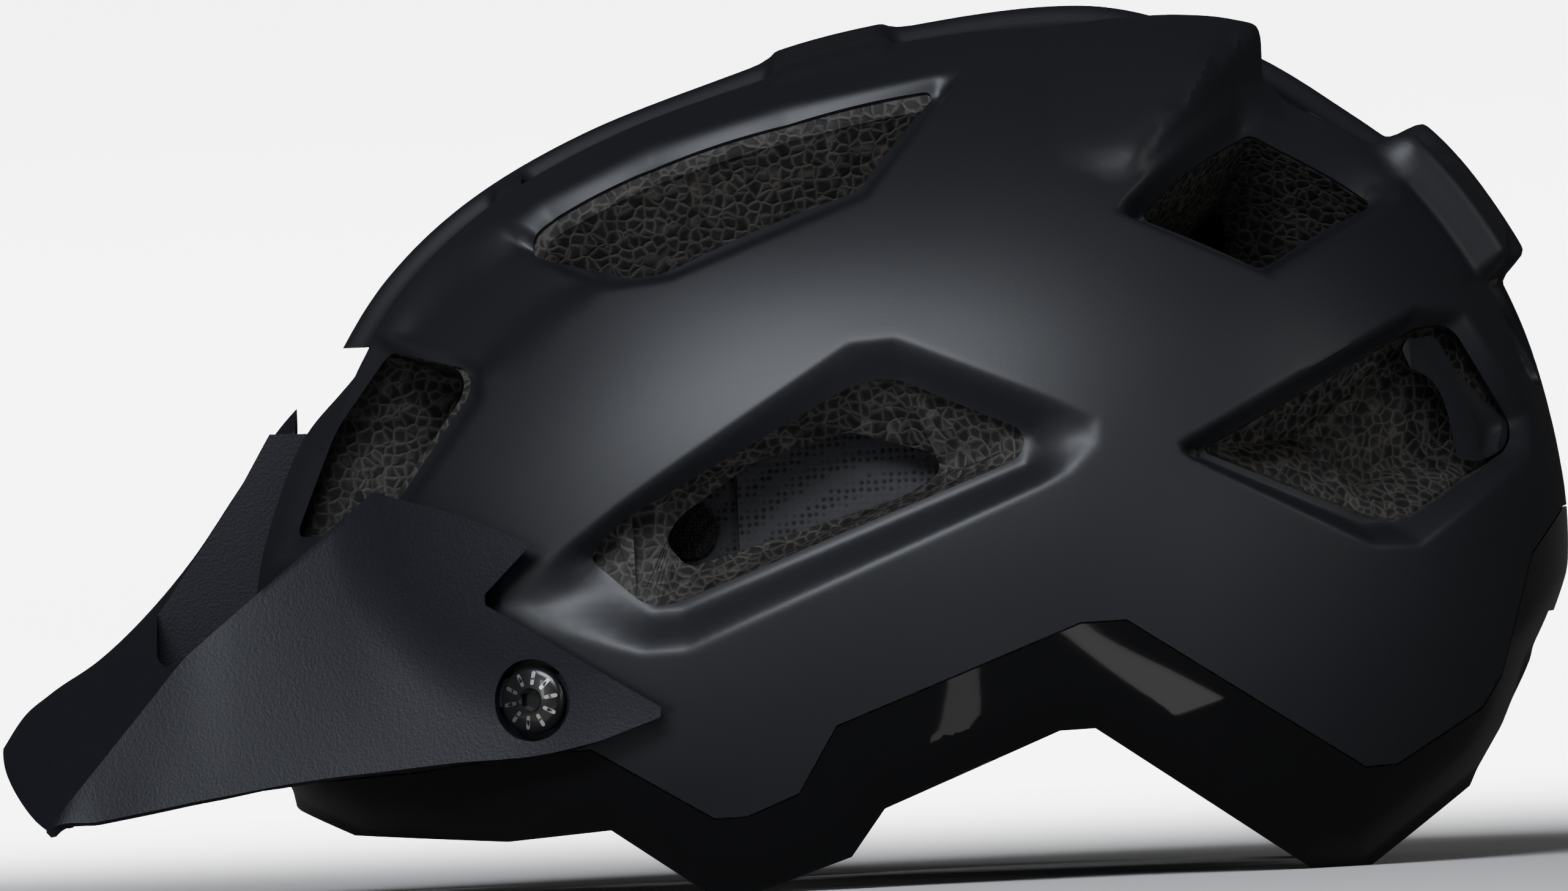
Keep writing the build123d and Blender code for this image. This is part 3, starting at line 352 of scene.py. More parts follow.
# %% Blow a divided cube out onto the form
def dome(cells, detail, inset=0.0):
    """Closed form of the helmet's skin, as far in as the inset says."""
    bm = bmesh.new()
    bmesh.ops.create_cube(bm, size=2.0)
    bmesh.ops.subdivide_edges(bm, edges=bm.edges, cuts=cells - 1, use_grid_fill=True)

    def spread():
        wide = np.tan(positions(bm) * math.pi / 4)
        return wide / np.linalg.norm(wide, axis=1)[:, None]

    for reach in (5.0, 2.6)[:detail]:
        fine = needs_detail(on_hull(spread()), reach)
        marked = {v for v, near in zip(bm.verts, fine) if near}
        edges = [e for e in bm.edges if e.verts[0] in marked and e.verts[1] in marked]
        bmesh.ops.subdivide_edges(bm, edges=edges, cuts=1, use_grid_fill=True)
    places = on_hull(spread())
    move_to(bm, places)
    outwards(bm)
    bm.normal_update()
    normals = np.array([v.normal[:] for v in bm.verts])
    move_to(bm, places + normals * (relief(places) - inset)[:, None])
    smoothed(bm, 2)
    return bm


outer_form = dome(62, detail=2)
print("outer form", len(outer_form.verts), "vertices")


# %% [markdown]
# ## Cutting tools for the vents
# A vent goes through the skin straight from its side-view outline, and then bends inwards through the
# foam to the head space. Each tool is a loft: outline outside the skin, outline below it, and an end
# inside the head space.

# %% Vent tools
def tunnel(outline, steps, radius=3.0):
    """Loft that starts outside the skin. Each step is (shift from the surface, scale about the middle)."""
    xs, zs = np.array(outline).T
    surface = np.stack([xs, -hull_half_width(xs, zs), zs], axis=1)
    loops = []
    for shift, scale in steps:
        middle = surface.mean(axis=0)
        loops.append(((surface - middle) * scale + middle + np.array(shift)).tolist())
    return loft(loops, radius)


AWAY, CLOSE = 30, 9  # millimetres a straight cut starts outside the skin and ends inside it


def vent_tools():
    """(tool for the skin, tool for the foam) for each vent on the wearer's left."""
    away, close = (0, -AWAY, 0), (0, CLOSE, 0)
    low_end = [(x, -66, z) for x, z in ((98, 83), (105, 89), (110, 91), (116, 88), (120, 82), (118, 77.5),
                                        (108, 78))]
    xs, zs = np.array(SIDE_OPENING).T
    reach = hull_half_width(xs, zs)
    mouth = [[(x, shift - r, z) for (x, z), r in zip(SIDE_OPENING, reach)] for shift in (-AWAY, CLOSE)]
    throat = [[(x, y, z) for x, z in SIDE_THROAT] for y in (-97.0, -80.0, -45.0)]
    slope = [mouth[1], [(x, -82.0, z) for x, z in SIDE_THROAT]]
    low = tunnel(LOW_OPENING, [(away, 1), (close, 1), ((0, 14, 0), 0.97)])
    surface = [(x, -float(hull_half_width(x, z)) + 13, z) for x, z in LOW_OPENING]
    low_throat = loft([surface, low_end, [(x - 34, y + 26, z + 10) for x, y, z in low_end]], 2.0)
    return {
        "side": (loft(mouth, 3.0), [loft(mouth, 3.0), loft(slope, 3.0), loft(throat, 3.0)]),
        "low": (tunnel(LOW_OPENING, [(away, 1), (close, 1)]), [low, low_throat]),
        "high": (tunnel(HIGH_OPENING, [((0, -24, 14), 1), ((-1, 16, -9), 1)], 2.5),
                 [tunnel(HIGH_OPENING, [((0, -24, 14), 1), ((-1, 14, -8), 1), ((-6, 26, -16), 0.9),
                                        ((-30, 48, -34), 0.5)], 2.5)]),
        "front": (tunnel(FRONT_OPENING, [(away, 1), ((3, 12, 0), 1)]),
                  [tunnel(FRONT_OPENING, [(away, 1), ((1, 9, 0), 1), ((38, 22, -8), 0.62),
                                          ((62, 34, -16), 0.5)])]),
        "long": (tunnel(LONG_OPENING, [((0, -22, 22), 1), ((0, 8, -6), 1)]),
                 [tunnel(LONG_OPENING, [((0, -22, 22), 1), ((0, 2, -6), 1), ((0, 10, -26), 0.9),
                                        ((0, 20, -62), 0.72)])]),
    }


PIVOT = np.array([-53.0, 42.7])
GROOVE_RADIUS, GROOVE_HALF = 60.5, 16.8


def crown_tools():
    """Upright tools for the openings in the crown channels, on the wearer's left."""
    tools = []
    for x0, x1, near, far_front, far_back in CROWN_OPENINGS:
        deep = 92 if x0 < 100 else 104
        top = [(x0, -near), (x1, -near), (x1, -far_back), (x0, -far_front)]
        shift = 0.20 * (CENTRE[0] - (x0 + x1) / 2)
        tools.append(loft([[(x, y, 220) for x, y in top], [(x, y, 120) for x, y in top],
                           [(x + shift, y * 0.9, deep) for x, y in top]], 3.0))
    exhaust = [(-9, 100), (-21, 101), (-20, 121), (-9, 122)]
    tools.append(loft([[(x, y, z) for y, z in exhaust] for x in (200, 150, 100)], 3.0))
    return tools


def groove_tool():
    """Channel over the brow that the visor's rib sinks into."""
    arc = [math.radians(a) for a in range(100, 166, 5)]
    inner = [(PIVOT[0] + GROOVE_RADIUS * math.cos(a), PIVOT[1] + GROOVE_RADIUS * math.sin(a)) for a in arc]
    outline = [(-140, 63), (-140, 119), (-66, 119), (-63, 103), *[(x, z) for x, z in inner if z > 63]]
    return side_prism(outline, -GROOVE_HALF, GROOVE_HALF)


VENTS, CROWN = vent_tools(), crown_tools()
print("vent tools", len(VENTS) + len(CROWN))


# %% [markdown]
# ## Skins and foam
# Everything is cut on the wearer's left half and mirrored, so that both halves match. The matt skin is
# the form above the split line and the gloss skin is the form below it, with a thin gap between them, so
# that the matt skin's edge casts its own thin line. The foam fills the space inside.

# %% Half forms
SKIN = 1.2
RIM_DROP = -60


def under(line, lift=0.0):
    """Closed block of everything below a side-view line, on the wearer's left."""
    points = [(x, z + lift) for x, z in line]
    return side_prism([(-200, RIM_DROP), (-200, points[0][1]), *points,
                       (220, points[-1][1]), (220, RIM_DROP)], -140, 1)


def neck_arch(grow=0.0):
    """Arch in the back edge that clears the dial."""
    half, top = 46 + grow, 52 + grow
    shape = [(-half, -60), (4 - half, 8), (20 - half, top), (1, top), (1, -60)]
    return loft([[(x, y, z) for y, z in shape] for x in (95, 230)], 0)


def left_half(bm):
    """Keeps what is on the wearer's left of the middle plane, and closes the cut."""
    made = bmesh.ops.bisect_plane(bm, geom=bm.verts[:] + bm.edges[:] + bm.faces[:], plane_co=(0, 0, 0),
                                  plane_no=(0, 1, 0), clear_outer=True, dist=1e-5)
    rim = [e for e in made["geom_cut"] if isinstance(e, bmesh.types.BMEdge)]
    bmesh.ops.holes_fill(bm, edges=rim, sides=0)
    bmesh.ops.triangulate(bm, faces=[f for f in bm.faces if len(f.verts) > 4])
    return bm


def whole(bm):
    """Removes the closing face on the middle plane and mirrors the half onto the other side."""
    flat = [f for f in bm.faces if all(abs(v.co.y) < 1e-3 for v in f.verts)]
    bmesh.ops.delete(bm, geom=flat, context="FACES")
    twin = copy_of(bm)
    bmesh.ops.scale(twin, vec=(1, -1, 1), verts=twin.verts)
    bmesh.ops.reverse_faces(twin, faces=twin.faces)
    mesh = bpy.data.meshes.new("half")
    twin.to_mesh(mesh)
    bm.from_mesh(mesh)
    bmesh.ops.remove_doubles(bm, verts=bm.verts, dist=2e-3)
    return bm


def head_space():
    """Inside of the foam: straight walls below, a dome above."""
    bm = bmesh.new()
    bmesh.ops.create_uvsphere(bm, u_segments=96, v_segments=64, radius=1.0)
    places = positions(bm)
    level = np.hypot(places[:, 0], places[:, 1])
    angle = np.arctan2(places[:, 1], places[:, 0])
    s = np.abs(places[:, 2])
    k = np.where(places[:, 2] > 0, (1 - s**2.3) ** (1 / 2.3), 1.0)
    k = np.where(level < 1e-6, 0, k)
    u = np.sign(np.cos(angle)) * np.abs(np.cos(angle)) ** (2 / 2.2) * k
    v = np.sign(np.sin(angle)) * np.abs(np.sin(angle)) ** (2 / 2.2) * k
    z = np.where(places[:, 2] > 0, 40 + 111 * s, 40 - 80 * s)
    move_to(bm, np.stack([27 + 107 * u, 79 * v * (1 + 0.03 * u), z], axis=1))
    return bm


outer_half = left_half(outer_form)
inner_half = left_half(dome(44, detail=1, inset=SKIN))
head_half = left_half(head_space())
print("halves", len(outer_half.faces), len(inner_half.faces), len(head_half.faces))

# %% Cut the skins
skin_vents = [tool for tool, _ in VENTS.values()] + CROWN + [groove_tool()]
blank = boolean(copy_of(outer_half), [under(RIM), neck_arch()])
core = boolean(copy_of(inner_half), [under(RIM, SKIN), neck_arch(SKIN)])
shell = boolean(blank, [copy_of(core), copy_of(head_half), *[copy_of(t) for t in skin_vents]])
upper = boolean(copy_of(shell), [under(SPLIT, 0.25), neck_arch(14.2)])
above_split = boolean(boolean(box(-210, 230, -141, 1.5, -70, 230), [under(SPLIT, -0.15)]), [neck_arch(13.8)])
lower = boolean(copy_of(shell), [above_split])
foam_tools = [tool for _, tools in VENTS.values() for tool in tools]
foam = boolean(copy_of(core), [copy_of(head_half), *foam_tools, *[copy_of(t) for t in CROWN], groove_tool()])
for label, form in (("shell", shell), ("upper", upper), ("lower", lower), ("foam", foam)):
    print(label, len(form.faces), "faces")


# %% [markdown]
# ## Visor
# The visor is one thin moulding: two side wings, a smooth middle facet between their creases, and a rib
# that runs back up the middle between two open slots. Its sections are drawn across at a few stations.
# A grid follows them, gets its thickness, and is then cut along the arms and slots.

# %% Visor curves
V_X = np.array([-169, -164, -158, -147, -136, -126, -116, -106, -96, -85.7, -70, -53, -38, -20])
V_TOP = np.array([35.5, 42.6, 47.4, 54.4, 64.2, 75.4, 89.2, 102.8, 112, 118, 123, 127, 130, 132])
V_CREASE_Y = np.array([50, 55, 57.6, 58.2, 58.5, 59, 59.5, 61, 63.5, 67, 72, 80, 86, 92])
V_CREASE_Z = np.array([9, 13, 19.2, 31.8, 44.5, 55.8, 63.8, 71.7, 79.7, 88.2, 96, 100, 102, 104])
V_EDGE_Y = np.array([56, 58, 59, 62, 66, 69, 72, 75.2, 78.6, 82, 87, 92.5, 98, 102])
V_EDGE_Z = np.array([8, 12, 18.7, 20.4, 22.2, 23.9, 25.4, 26.9, 28, 28.8, 30.1, 31, 34, 40])
ARM_SIDE = [(-230, -60), (-158.2, 17.2), (-111.5, 25.6), (-58.9, 30.6), (-48, 30.6), (-26.5, 38.1),
            (-26.3, 40.2), (-62.6, 63.2), (-62.6, 65.4), (-52.3, 75.6), (-67.7, 82.5), (-85.7, 87.9),
            (-104.5, 73), (-101.6, 120), (-230, 120)]
SLOT_SIDE = [(-134, 70), (-133.6, 54.2), (-131.6, 52.2), (-128.6, 53.4), (-85.5, 88.1), (-60, 100),
             (-60, 140), (-110, 140)]
RIB_WALL = [(-135, 50), (-134.4, 62.5), (-127.2, 72.6), (-116.4, 87.6), (-108.3, 101.2), (-100.2, 101.0),
            (-101.6, 94.3), (-110.4, 66.9), (-112, 48)]
VISOR_WALL, RIB_WIDE, RIB_THICK = 2.2, 14.0, 2.0
CREASE_AT = 0.56  # share of the way from the middle to the edge


def turned(x, z, degrees):
    """Side-view point after the visor tilts up."""
    a = math.radians(degrees)
    return (PIVOT[0] + (x - PIVOT[0]) * math.cos(a) + (z - PIVOT[1]) * math.sin(a),
            PIVOT[1] - (x - PIVOT[0]) * math.sin(a) + (z - PIVOT[1]) * math.cos(a))


def arm_reach(x, z):
    """Outside half-width that clears the shell over the visor's whole tilt."""
    swept = np.max([hull_half_width(*turned(x, z, t)) for t in (0, 3, 6, 9, 12)], axis=0)
    return np.where(swept > 0, swept + 1.6 + VISOR_WALL, 0)


def visor_surface():
    """Top of the visor as an open grid, before its arms and slots are cut."""
    bm = bmesh.new()
    bmesh.ops.create_grid(bm, x_segments=150, y_segments=128, size=1.0)
    places = positions(bm)
    u, v = (places[:, 0] + 1) / 2, places[:, 1]
    across = np.abs(v)
    t = np.clip(across / CREASE_AT, 0, 1)
    front = -168.6 + 10.4 * t**2.2
    x = front + (-20 - front) * u**1.25
    top, crease_y, crease_z, edge_y, edge_z = (smooth_curve(x, V_X, c) for c in
                                               (V_TOP, V_CREASE_Y, V_CREASE_Z, V_EDGE_Y, V_EDGE_Z))
    w = np.clip((across - CREASE_AT) / (1 - CREASE_AT), 0, 1)
    y = crease_y * t + (edge_y - crease_y) * w
    z = top + (crease_z - top) * t**1.18 + 0.22 * t * (1 - t) * (top - crease_z) + (edge_z - crease_z) * w
    reach = arm_reach(x, z)
    gap = np.where(reach > y - 3, np.maximum(reach - y + 3, 0) ** 2 / 12, 0)
    y = np.where(w > 0, np.where(reach > y + 3, reach, y + np.minimum(gap, 3)), y)
    move_to(bm, np.stack([x, np.sign(v) * y, z], axis=1))
    outwards(bm)
    bm.normal_update()
    if sum(f.normal.z * f.calc_area() for f in bm.faces) < 0:
        bmesh.ops.reverse_faces(bm, faces=bm.faces)
    return bm


def screw_matrix(side):
    """Place of a visor screw: its Z axis points out of the helmet."""
    turning = next(j for j in frame["joints"] if j["name"] == f"visor_screw_{side}_turn")
    turn = Vector(turning["axis"]).normalized().to_track_quat("Z", "Y").to_matrix().to_4x4()
    return Matrix.Translation(Vector(turning["pos_m"]) / MM) @ turn


def rod(radius, start, end, place, segments=48, radius_end=None):
    """Cylinder or cone along a place's Z axis."""
    bm = bmesh.new()
    bmesh.ops.create_cone(bm, cap_ends=True, segments=segments, radius1=radius, radius2=radius_end or radius,
                          depth=end - start)
    bmesh.ops.translate(bm, vec=(0, 0, (start + end) / 2), verts=bm.verts)
    bmesh.ops.transform(bm, matrix=place, verts=bm.verts)
    outwards(bm)
    return bm


# %% Build the visor
sheet_form = thickened(visor_surface(), VISOR_WALL)
visor_bm = boolean(sheet_form, [side_prism(ARM_SIDE, -130, 130)], "INTERSECT")
slots = [side_prism(SLOT_SIDE, *sorted((s * RIB_WIDE, s * 130)), 1.2) for s in (-1, 1)]
walls = [side_prism(RIB_WALL, *sorted((s * RIB_WIDE, s * (RIB_WIDE - RIB_THICK)))) for s in (-1, 1)]
visor_bm = boolean(visor_bm, slots)
visor_bm = boolean(visor_bm, walls, "UNION")
holes = [rod(8.7, -1.0, 12, screw_matrix(s)) for s in ("left", "right")]
holes += [rod(2.85, -8, 8, screw_matrix(s)) for s in ("left", "right")]
visor_bm = boolean(visor_bm, holes)
print("visor", len(visor_bm.faces), "faces")


# %% [markdown]
# ## Visor screws
# A screw is turned on a lathe, so its head is a profile spun round an axis. The hex socket is cut out
# afterwards, and the ten bare dashes are thin inlays that follow the dome.

# %% Build the screws
HEAD_RADIUS, HEAD_HIGH = 7.3, 2.35


def dome_height(r):
    return HEAD_HIGH - 0.95 * (r / HEAD_RADIUS) ** 2.4


def screw(side):
    place = screw_matrix(side)
    bm = bmesh.new()
    profile = [(0.0, dome_height(0))] + [(r, dome_height(r)) for r in (1.5, 3, 4.5, 5.6, 6.4)]
    profile += [(6.9, 1.25), (7.2, 0.9), (7.3, 0.5), (7.3, -0.1), (2.5, -0.25), (2.5, -15), (0.0, -15)]
    verts = [bm.verts.new((r, 0, h)) for r, h in profile]
    edges = [bm.edges.new(pair) for pair in zip(verts, verts[1:])]
    bmesh.ops.spin(bm, geom=verts + edges, cent=(0, 0, 0), axis=(0, 0, 1), angle=2 * math.pi, steps=64,
                   use_merge=True)
    bmesh.ops.remove_doubles(bm, verts=bm.verts, dist=1e-4)
    outwards(bm)
    still = Matrix.Identity(4)
    bm = boolean(bm, [rod(2.35, 0.3, 4, still, 6), rod(2.2, 1.9, 3.2, still, 48, 3.6)])
    bmesh.ops.transform(bm, matrix=place, verts=bm.verts)
    return bm


def dashes(side):
    """Ten thin capsule-shaped inlays round the head."""
    place = screw_matrix(side)
    bm = bmesh.new()
    for k in range(10):
        made = bmesh.ops.create_circle(bm, cap_ends=True, segments=16, radius=0.42)["verts"]
        bmesh.ops.inset_region(bm, faces=[f for f in bm.faces if f.verts[0] in made], thickness=0.2)
        made = [v for v in bm.verts if v in made or abs(v.co.x) < 0.43 and abs(v.co.y) < 0.43]
        for v in made:
            v.co.x += math.copysign(1.05, v.co.x)
        bmesh.ops.translate(bm, verts=made, vec=(4.75, 0, 0))
        turn = Matrix.Rotation(math.radians(36 * k + 9), 3, "Z")
        bmesh.ops.rotate(bm, verts=made, cent=(0, 0, 0), matrix=turn)
    for v in bm.verts:
        v.co.z = dome_height(math.hypot(v.co.x, v.co.y)) + 0.035
    thickened(bm, 0.12)
    bmesh.ops.transform(bm, matrix=place, verts=bm.verts)
    return bm


# %% [markdown]
# ## Materials
# All the finishes are black, so they tell themselves apart by how they catch light: a satin skin with a
# soft broad sheen, a gloss skin with sharp reflections, a visor with a fine spark-eroded grain, and bead
# foam with pale cell borders.

# %% Node helpers
def material(name, colour, roughness, **sockets):
    mat = bpy.data.materials.new(name)
    mat.use_nodes = True
    shader = mat.node_tree.nodes["Principled BSDF"]
    shader.inputs["Base Color"].default_value = (*colour, 1)
    shader.inputs["Roughness"].default_value = roughness
    for socket, value in sockets.items():
        shader.inputs[socket.replace("_", " ")].default_value = value
    return mat, mat.node_tree, shader


def node(tree, kind, **inputs):
    made = tree.nodes.new(kind)
    for key, value in inputs.items():
        made.inputs[key.replace("_", " ")].default_value = value
    return made


def texture(tree, kind, **inputs):
    """Texture node that reads Object coordinates."""
    made = node(tree, f"ShaderNodeTex{kind}", **inputs)
    place = tree.nodes.new("ShaderNodeTexCoord").outputs["Object"]
    tree.links.new(place, made.inputs["Vector"])
    return made


def bump(tree, shader, height, strength, distance):
    made = node(tree, "ShaderNodeBump", Strength=strength, Distance=distance)
    tree.links.new(height, made.inputs["Height"])
    tree.links.new(made.outputs["Normal"], shader.inputs["Normal"])
    return made


def ramp(tree, value, stops):
    made = tree.nodes.new("ShaderNodeValToRGB")
    while len(made.color_ramp.elements) < len(stops):
        made.color_ramp.elements.new(0.5)
    for element, (at, colour) in zip(made.color_ramp.elements, stops):
        element.position = at
        element.color = (*colour, 1)
    tree.links.new(value, made.inputs["Fac"])
    return made.outputs["Color"]


# %% Satin skin
def satin_skin():
    mat, tree, shader = material("satin_skin", (0.013, 0.0135, 0.017), 0.43, Specular_IOR_Level=0.45)
    cloud = texture(tree, "Noise", Scale=9.0, Detail=4.0, Roughness=0.55)
    grain = texture(tree, "Noise", Scale=2600.0, Detail=2.0)
    tint = ramp(tree, cloud.outputs["Fac"], [(0.3, (0.0115, 0.012, 0.0155)), (0.7, (0.0145, 0.015, 0.0185))])
    tree.links.new(tint, shader.inputs["Base Color"])
    rough = node(tree, "ShaderNodeMapRange", To_Min=0.40, To_Max=0.47)
    tree.links.new(cloud.outputs["Fac"], rough.inputs["Value"])
    tree.links.new(rough.outputs["Result"], shader.inputs["Roughness"])
    bump(tree, shader, grain.outputs["Fac"], 0.05, 0.0002)
    return mat


def gloss_skin():
    mat, tree, shader = material("gloss_skin", (0.0045, 0.0045, 0.005), 0.06, Specular_IOR_Level=0.55,
                                 Coat_Weight=0.5, Coat_Roughness=0.02)
    swell = texture(tree, "Noise", Scale=28.0, Detail=1.0)
    bump(tree, shader, swell.outputs["Fac"], 0.035, 0.004)
    return mat


def grained_visor():
    mat, tree, shader = material("grained_visor", (0.010, 0.0105, 0.016), 0.50, Specular_IOR_Level=0.35)
    grain = texture(tree, "Noise", Scale=1500.0, Detail=3.0, Roughness=0.6)
    spark = texture(tree, "Voronoi", Scale=1100.0)
    tint = ramp(tree, spark.outputs["Distance"],
                [(0.0, (0.03, 0.032, 0.045)), (0.16, (0.010, 0.0105, 0.016))])
    tree.links.new(tint, shader.inputs["Base Color"])
    bump(tree, shader, grain.outputs["Fac"], 0.35, 0.00035)
    return mat


def bead_foam():
    mat, tree, shader = material("bead_foam", (0.02, 0.019, 0.019), 0.62, Specular_IOR_Level=0.35)
    place = tree.nodes.new("ShaderNodeTexCoord").outputs["Object"]
    wobble = texture(tree, "Noise", Scale=260.0, Detail=1.0)
    shift = node(tree, "ShaderNodeMixRGB", Fac=0.0022)
    shift.blend_type = "ADD"
    tree.links.new(place, shift.inputs["Color1"])
    tree.links.new(wobble.outputs["Color"], shift.inputs["Color2"])
    cells, tint = (node(tree, "ShaderNodeTexVoronoi", Scale=400.0, Randomness=0.7) for _ in range(2))
    cells.feature = "DISTANCE_TO_EDGE"
    for beads in (cells, tint):
        tree.links.new(shift.outputs["Color"], beads.inputs["Vector"])
    border = ramp(tree, cells.outputs["Distance"], [(0.0, (0.060, 0.055, 0.050)),
                                                    (0.13, (0.026, 0.0245, 0.0235)),
                                                    (0.30, (0.013, 0.0125, 0.0125))])
    shade = ramp(tree, tint.outputs["Color"], [(0.2, (0.65, 0.65, 0.65)), (0.8, (1.3, 1.27, 1.24))])
    mix = node(tree, "ShaderNodeMixRGB", Fac=1.0)
    mix.blend_type = "MULTIPLY"
    tree.links.new(border, mix.inputs["Color1"])
    tree.links.new(shade, mix.inputs["Color2"])
    tree.links.new(mix.outputs["Color"], shader.inputs["Base Color"])
    soft = ramp(tree, cells.outputs["Distance"], [(0.0, (0, 0, 0)), (0.25, (1, 1, 1))])
    bump(tree, shader, soft, 0.5, 0.0004)
    return mat


# %% Make the finishes
FINISH = {"matt_shell": satin_skin(), "gloss_shell": gloss_skin(), "visor_plastic": grained_visor(),
          "eps_foam": bead_foam()}
FINISH["screw_metal"] = material("screw_black", (0.008, 0.008, 0.009), 0.28, Coat_Weight=0.3)[0]
FINISH["bare_steel"] = material("bare_steel", (0.72, 0.70, 0.66), 0.28, Metallic=1.0)[0]


def finished(bm, name, body, slot, replaced=(), sharp=32, looks=None):
    """Turns a mesh in millimetres into a piece with its finish, on its body."""
    piece = object_from(bm, name, MM)
    piece.data.shade_smooth()
    piece.data.set_sharp_from_angle(angle=math.radians(sharp))
    piece.data.materials.append(looks or FINISH[slot])
    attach(piece, body)
    if replaced:
        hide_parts(*replaced)
    return piece


# %% Shells and visor as pieces
finished(whole(upper), "satin_upper_skin", "helmet", "matt_shell", ["upper_shell"])
finished(whole(lower), "gloss_lower_skin", "helmet", "gloss_shell", ["lower_shell"])
finished(whole(foam), "bead_foam_liner", "helmet", "eps_foam", ["foam_liner"])
finished(visor_bm, "visor_moulding", "visor", "visor_plastic", ["visor"])
for side in ("left", "right"):
    finished(screw(side), f"screw_{side}", f"visor_screw_{side}", "screw_metal", [f"visor_screw_{side}"])
    finished(dashes(side), f"screw_dashes_{side}", f"visor_screw_{side}", "screw_metal",
             looks=FINISH["bare_steel"])


# %% [markdown]
# ## Moulded plastics, brass and rubber
# The fit system and the buckle are plain injection mouldings: a fine spark texture, a little cloudiness
# in the roughness, and soft edges. One node group gives that skin to all of them, in place of one tree each.

# %% Moulded skin group
def moulded_group():
    """Gives a colour tint, a roughness offset and a normal for a lightly textured moulding."""
    group = bpy.data.node_groups.new("moulded_skin", "ShaderNodeTree")
    for title, kind in (("Grain scale", "Float"), ("Depth", "Float"), ("Roughness", "Float"),
                        ("Dark", "Color"), ("Pale", "Color")):
        group.interface.new_socket(title, in_out="INPUT", socket_type=f"NodeSocket{kind}")
    for title, kind in (("Color", "Color"), ("Roughness", "Float"), ("Normal", "Vector")):
        group.interface.new_socket(title, in_out="OUTPUT", socket_type=f"NodeSocket{kind}")
    entry, leave = group.nodes.new("NodeGroupInput"), group.nodes.new("NodeGroupOutput")
    grain = texture(group, "Noise", Detail=2.0)
    cloud = texture(group, "Noise", Scale=35.0, Detail=3.0)
    group.links.new(entry.outputs["Grain scale"], grain.inputs["Scale"])
    mix = group.nodes.new("ShaderNodeMixRGB")
    group.links.new(cloud.outputs["Fac"], mix.inputs["Fac"])
    group.links.new(entry.outputs["Dark"], mix.inputs["Color1"])
    group.links.new(entry.outputs["Pale"], mix.inputs["Color2"])
    spread = group.nodes.new("ShaderNodeMath")
    spread.operation = "MULTIPLY_ADD"
    spread.inputs[1].default_value = 0.14
    group.links.new(cloud.outputs["Fac"], spread.inputs[0])
    group.links.new(entry.outputs["Roughness"], spread.inputs[2])
    dent = node(group, "ShaderNodeBump", Distance=0.0002)
    group.links.new(entry.outputs["Depth"], dent.inputs["Strength"])
    group.links.new(grain.outputs["Fac"], dent.inputs["Height"])
    group.links.new(mix.outputs["Color"], leave.inputs["Color"])
    group.links.new(spread.outputs["Value"], leave.inputs["Roughness"])
    group.links.new(dent.outputs["Normal"], leave.inputs["Normal"])
    return group


MOULDED = moulded_group()


def moulded(name, dark, pale, roughness, grain=1800, depth=0.3, **sockets):
    mat, tree, shader = material(name, dark, roughness, **sockets)
    skin = tree.nodes.new("ShaderNodeGroup")
    skin.node_tree = MOULDED
    for key, value in (("Grain scale", grain), ("Depth", depth), ("Roughness", roughness - 0.07),
                       ("Dark", (*dark, 1)), ("Pale", (*pale, 1))):
        skin.inputs[key].default_value = value
    for key in ("Normal", "Roughness"):
        tree.links.new(skin.outputs[key], shader.inputs[key])
    tree.links.new(skin.outputs["Color"], shader.inputs["Base Color"])
    return mat


# %% [markdown]
# ## Webbing, mesh fabric and hook tape
# Webbing is woven, so its pattern runs along the strap: two crossed waves make the weave, read from the
# strap's own UV map. The pads' knitted mesh has rows of small holes, which sit on object coordinates.

# %% Fabrics
def wave(tree, vector, direction, scale, profile="SIN"):
    made = node(tree, "ShaderNodeTexWave", Scale=scale)
    made.bands_direction = direction
    made.wave_profile = profile
    tree.links.new(vector, made.inputs["Vector"])
    return made.outputs["Fac"]


def math_node(tree, operation, *values):
    made = tree.nodes.new("ShaderNodeMath")
    made.operation = operation
    for socket, value in zip(made.inputs, values):
        if isinstance(value, (int, float)):
            socket.default_value = value
        else:
            tree.links.new(value, socket)
    return made.outputs[0]


def woven_webbing():
    mat, tree, shader = material("woven_webbing", (0.012, 0.012, 0.013), 0.62, Sheen_Weight=0.35,
                                 Sheen_Roughness=0.4)
    along = node(tree, "ShaderNodeUVMap")
    warp = wave(tree, along.outputs["UV"], "Y", 0.62)
    weft = wave(tree, along.outputs["UV"], "X", 0.30)
    checks = math_node(tree, "MULTIPLY", warp, math_node(tree, "ADD", 0.45, weft))
    tint = ramp(tree, checks, [(0.1, (0.004, 0.004, 0.0045)), (0.9, (0.030, 0.030, 0.032))])
    tree.links.new(tint, shader.inputs["Base Color"])
    bump(tree, shader, checks, 0.55, 0.0003)
    return mat


def knitted_mesh():
    mat, tree, shader = material("knitted_mesh", (0.018, 0.018, 0.020), 0.85, Sheen_Weight=0.3,
                                 Sheen_Roughness=0.5)
    holes = texture(tree, "Voronoi", Scale=620.0, Randomness=0.22).outputs["Distance"]
    fuzz = texture(tree, "Noise", Scale=1400.0, Detail=3.0).outputs["Fac"]
    tint = ramp(tree, holes, [(0.18, (0.003, 0.003, 0.0035)), (0.42, (0.036, 0.036, 0.040))])
    tree.links.new(tint, shader.inputs["Base Color"])
    bump(tree, shader, math_node(tree, "ADD", holes, math_node(tree, "MULTIPLY", fuzz, 0.25)), 0.6, 0.0006)
    return mat


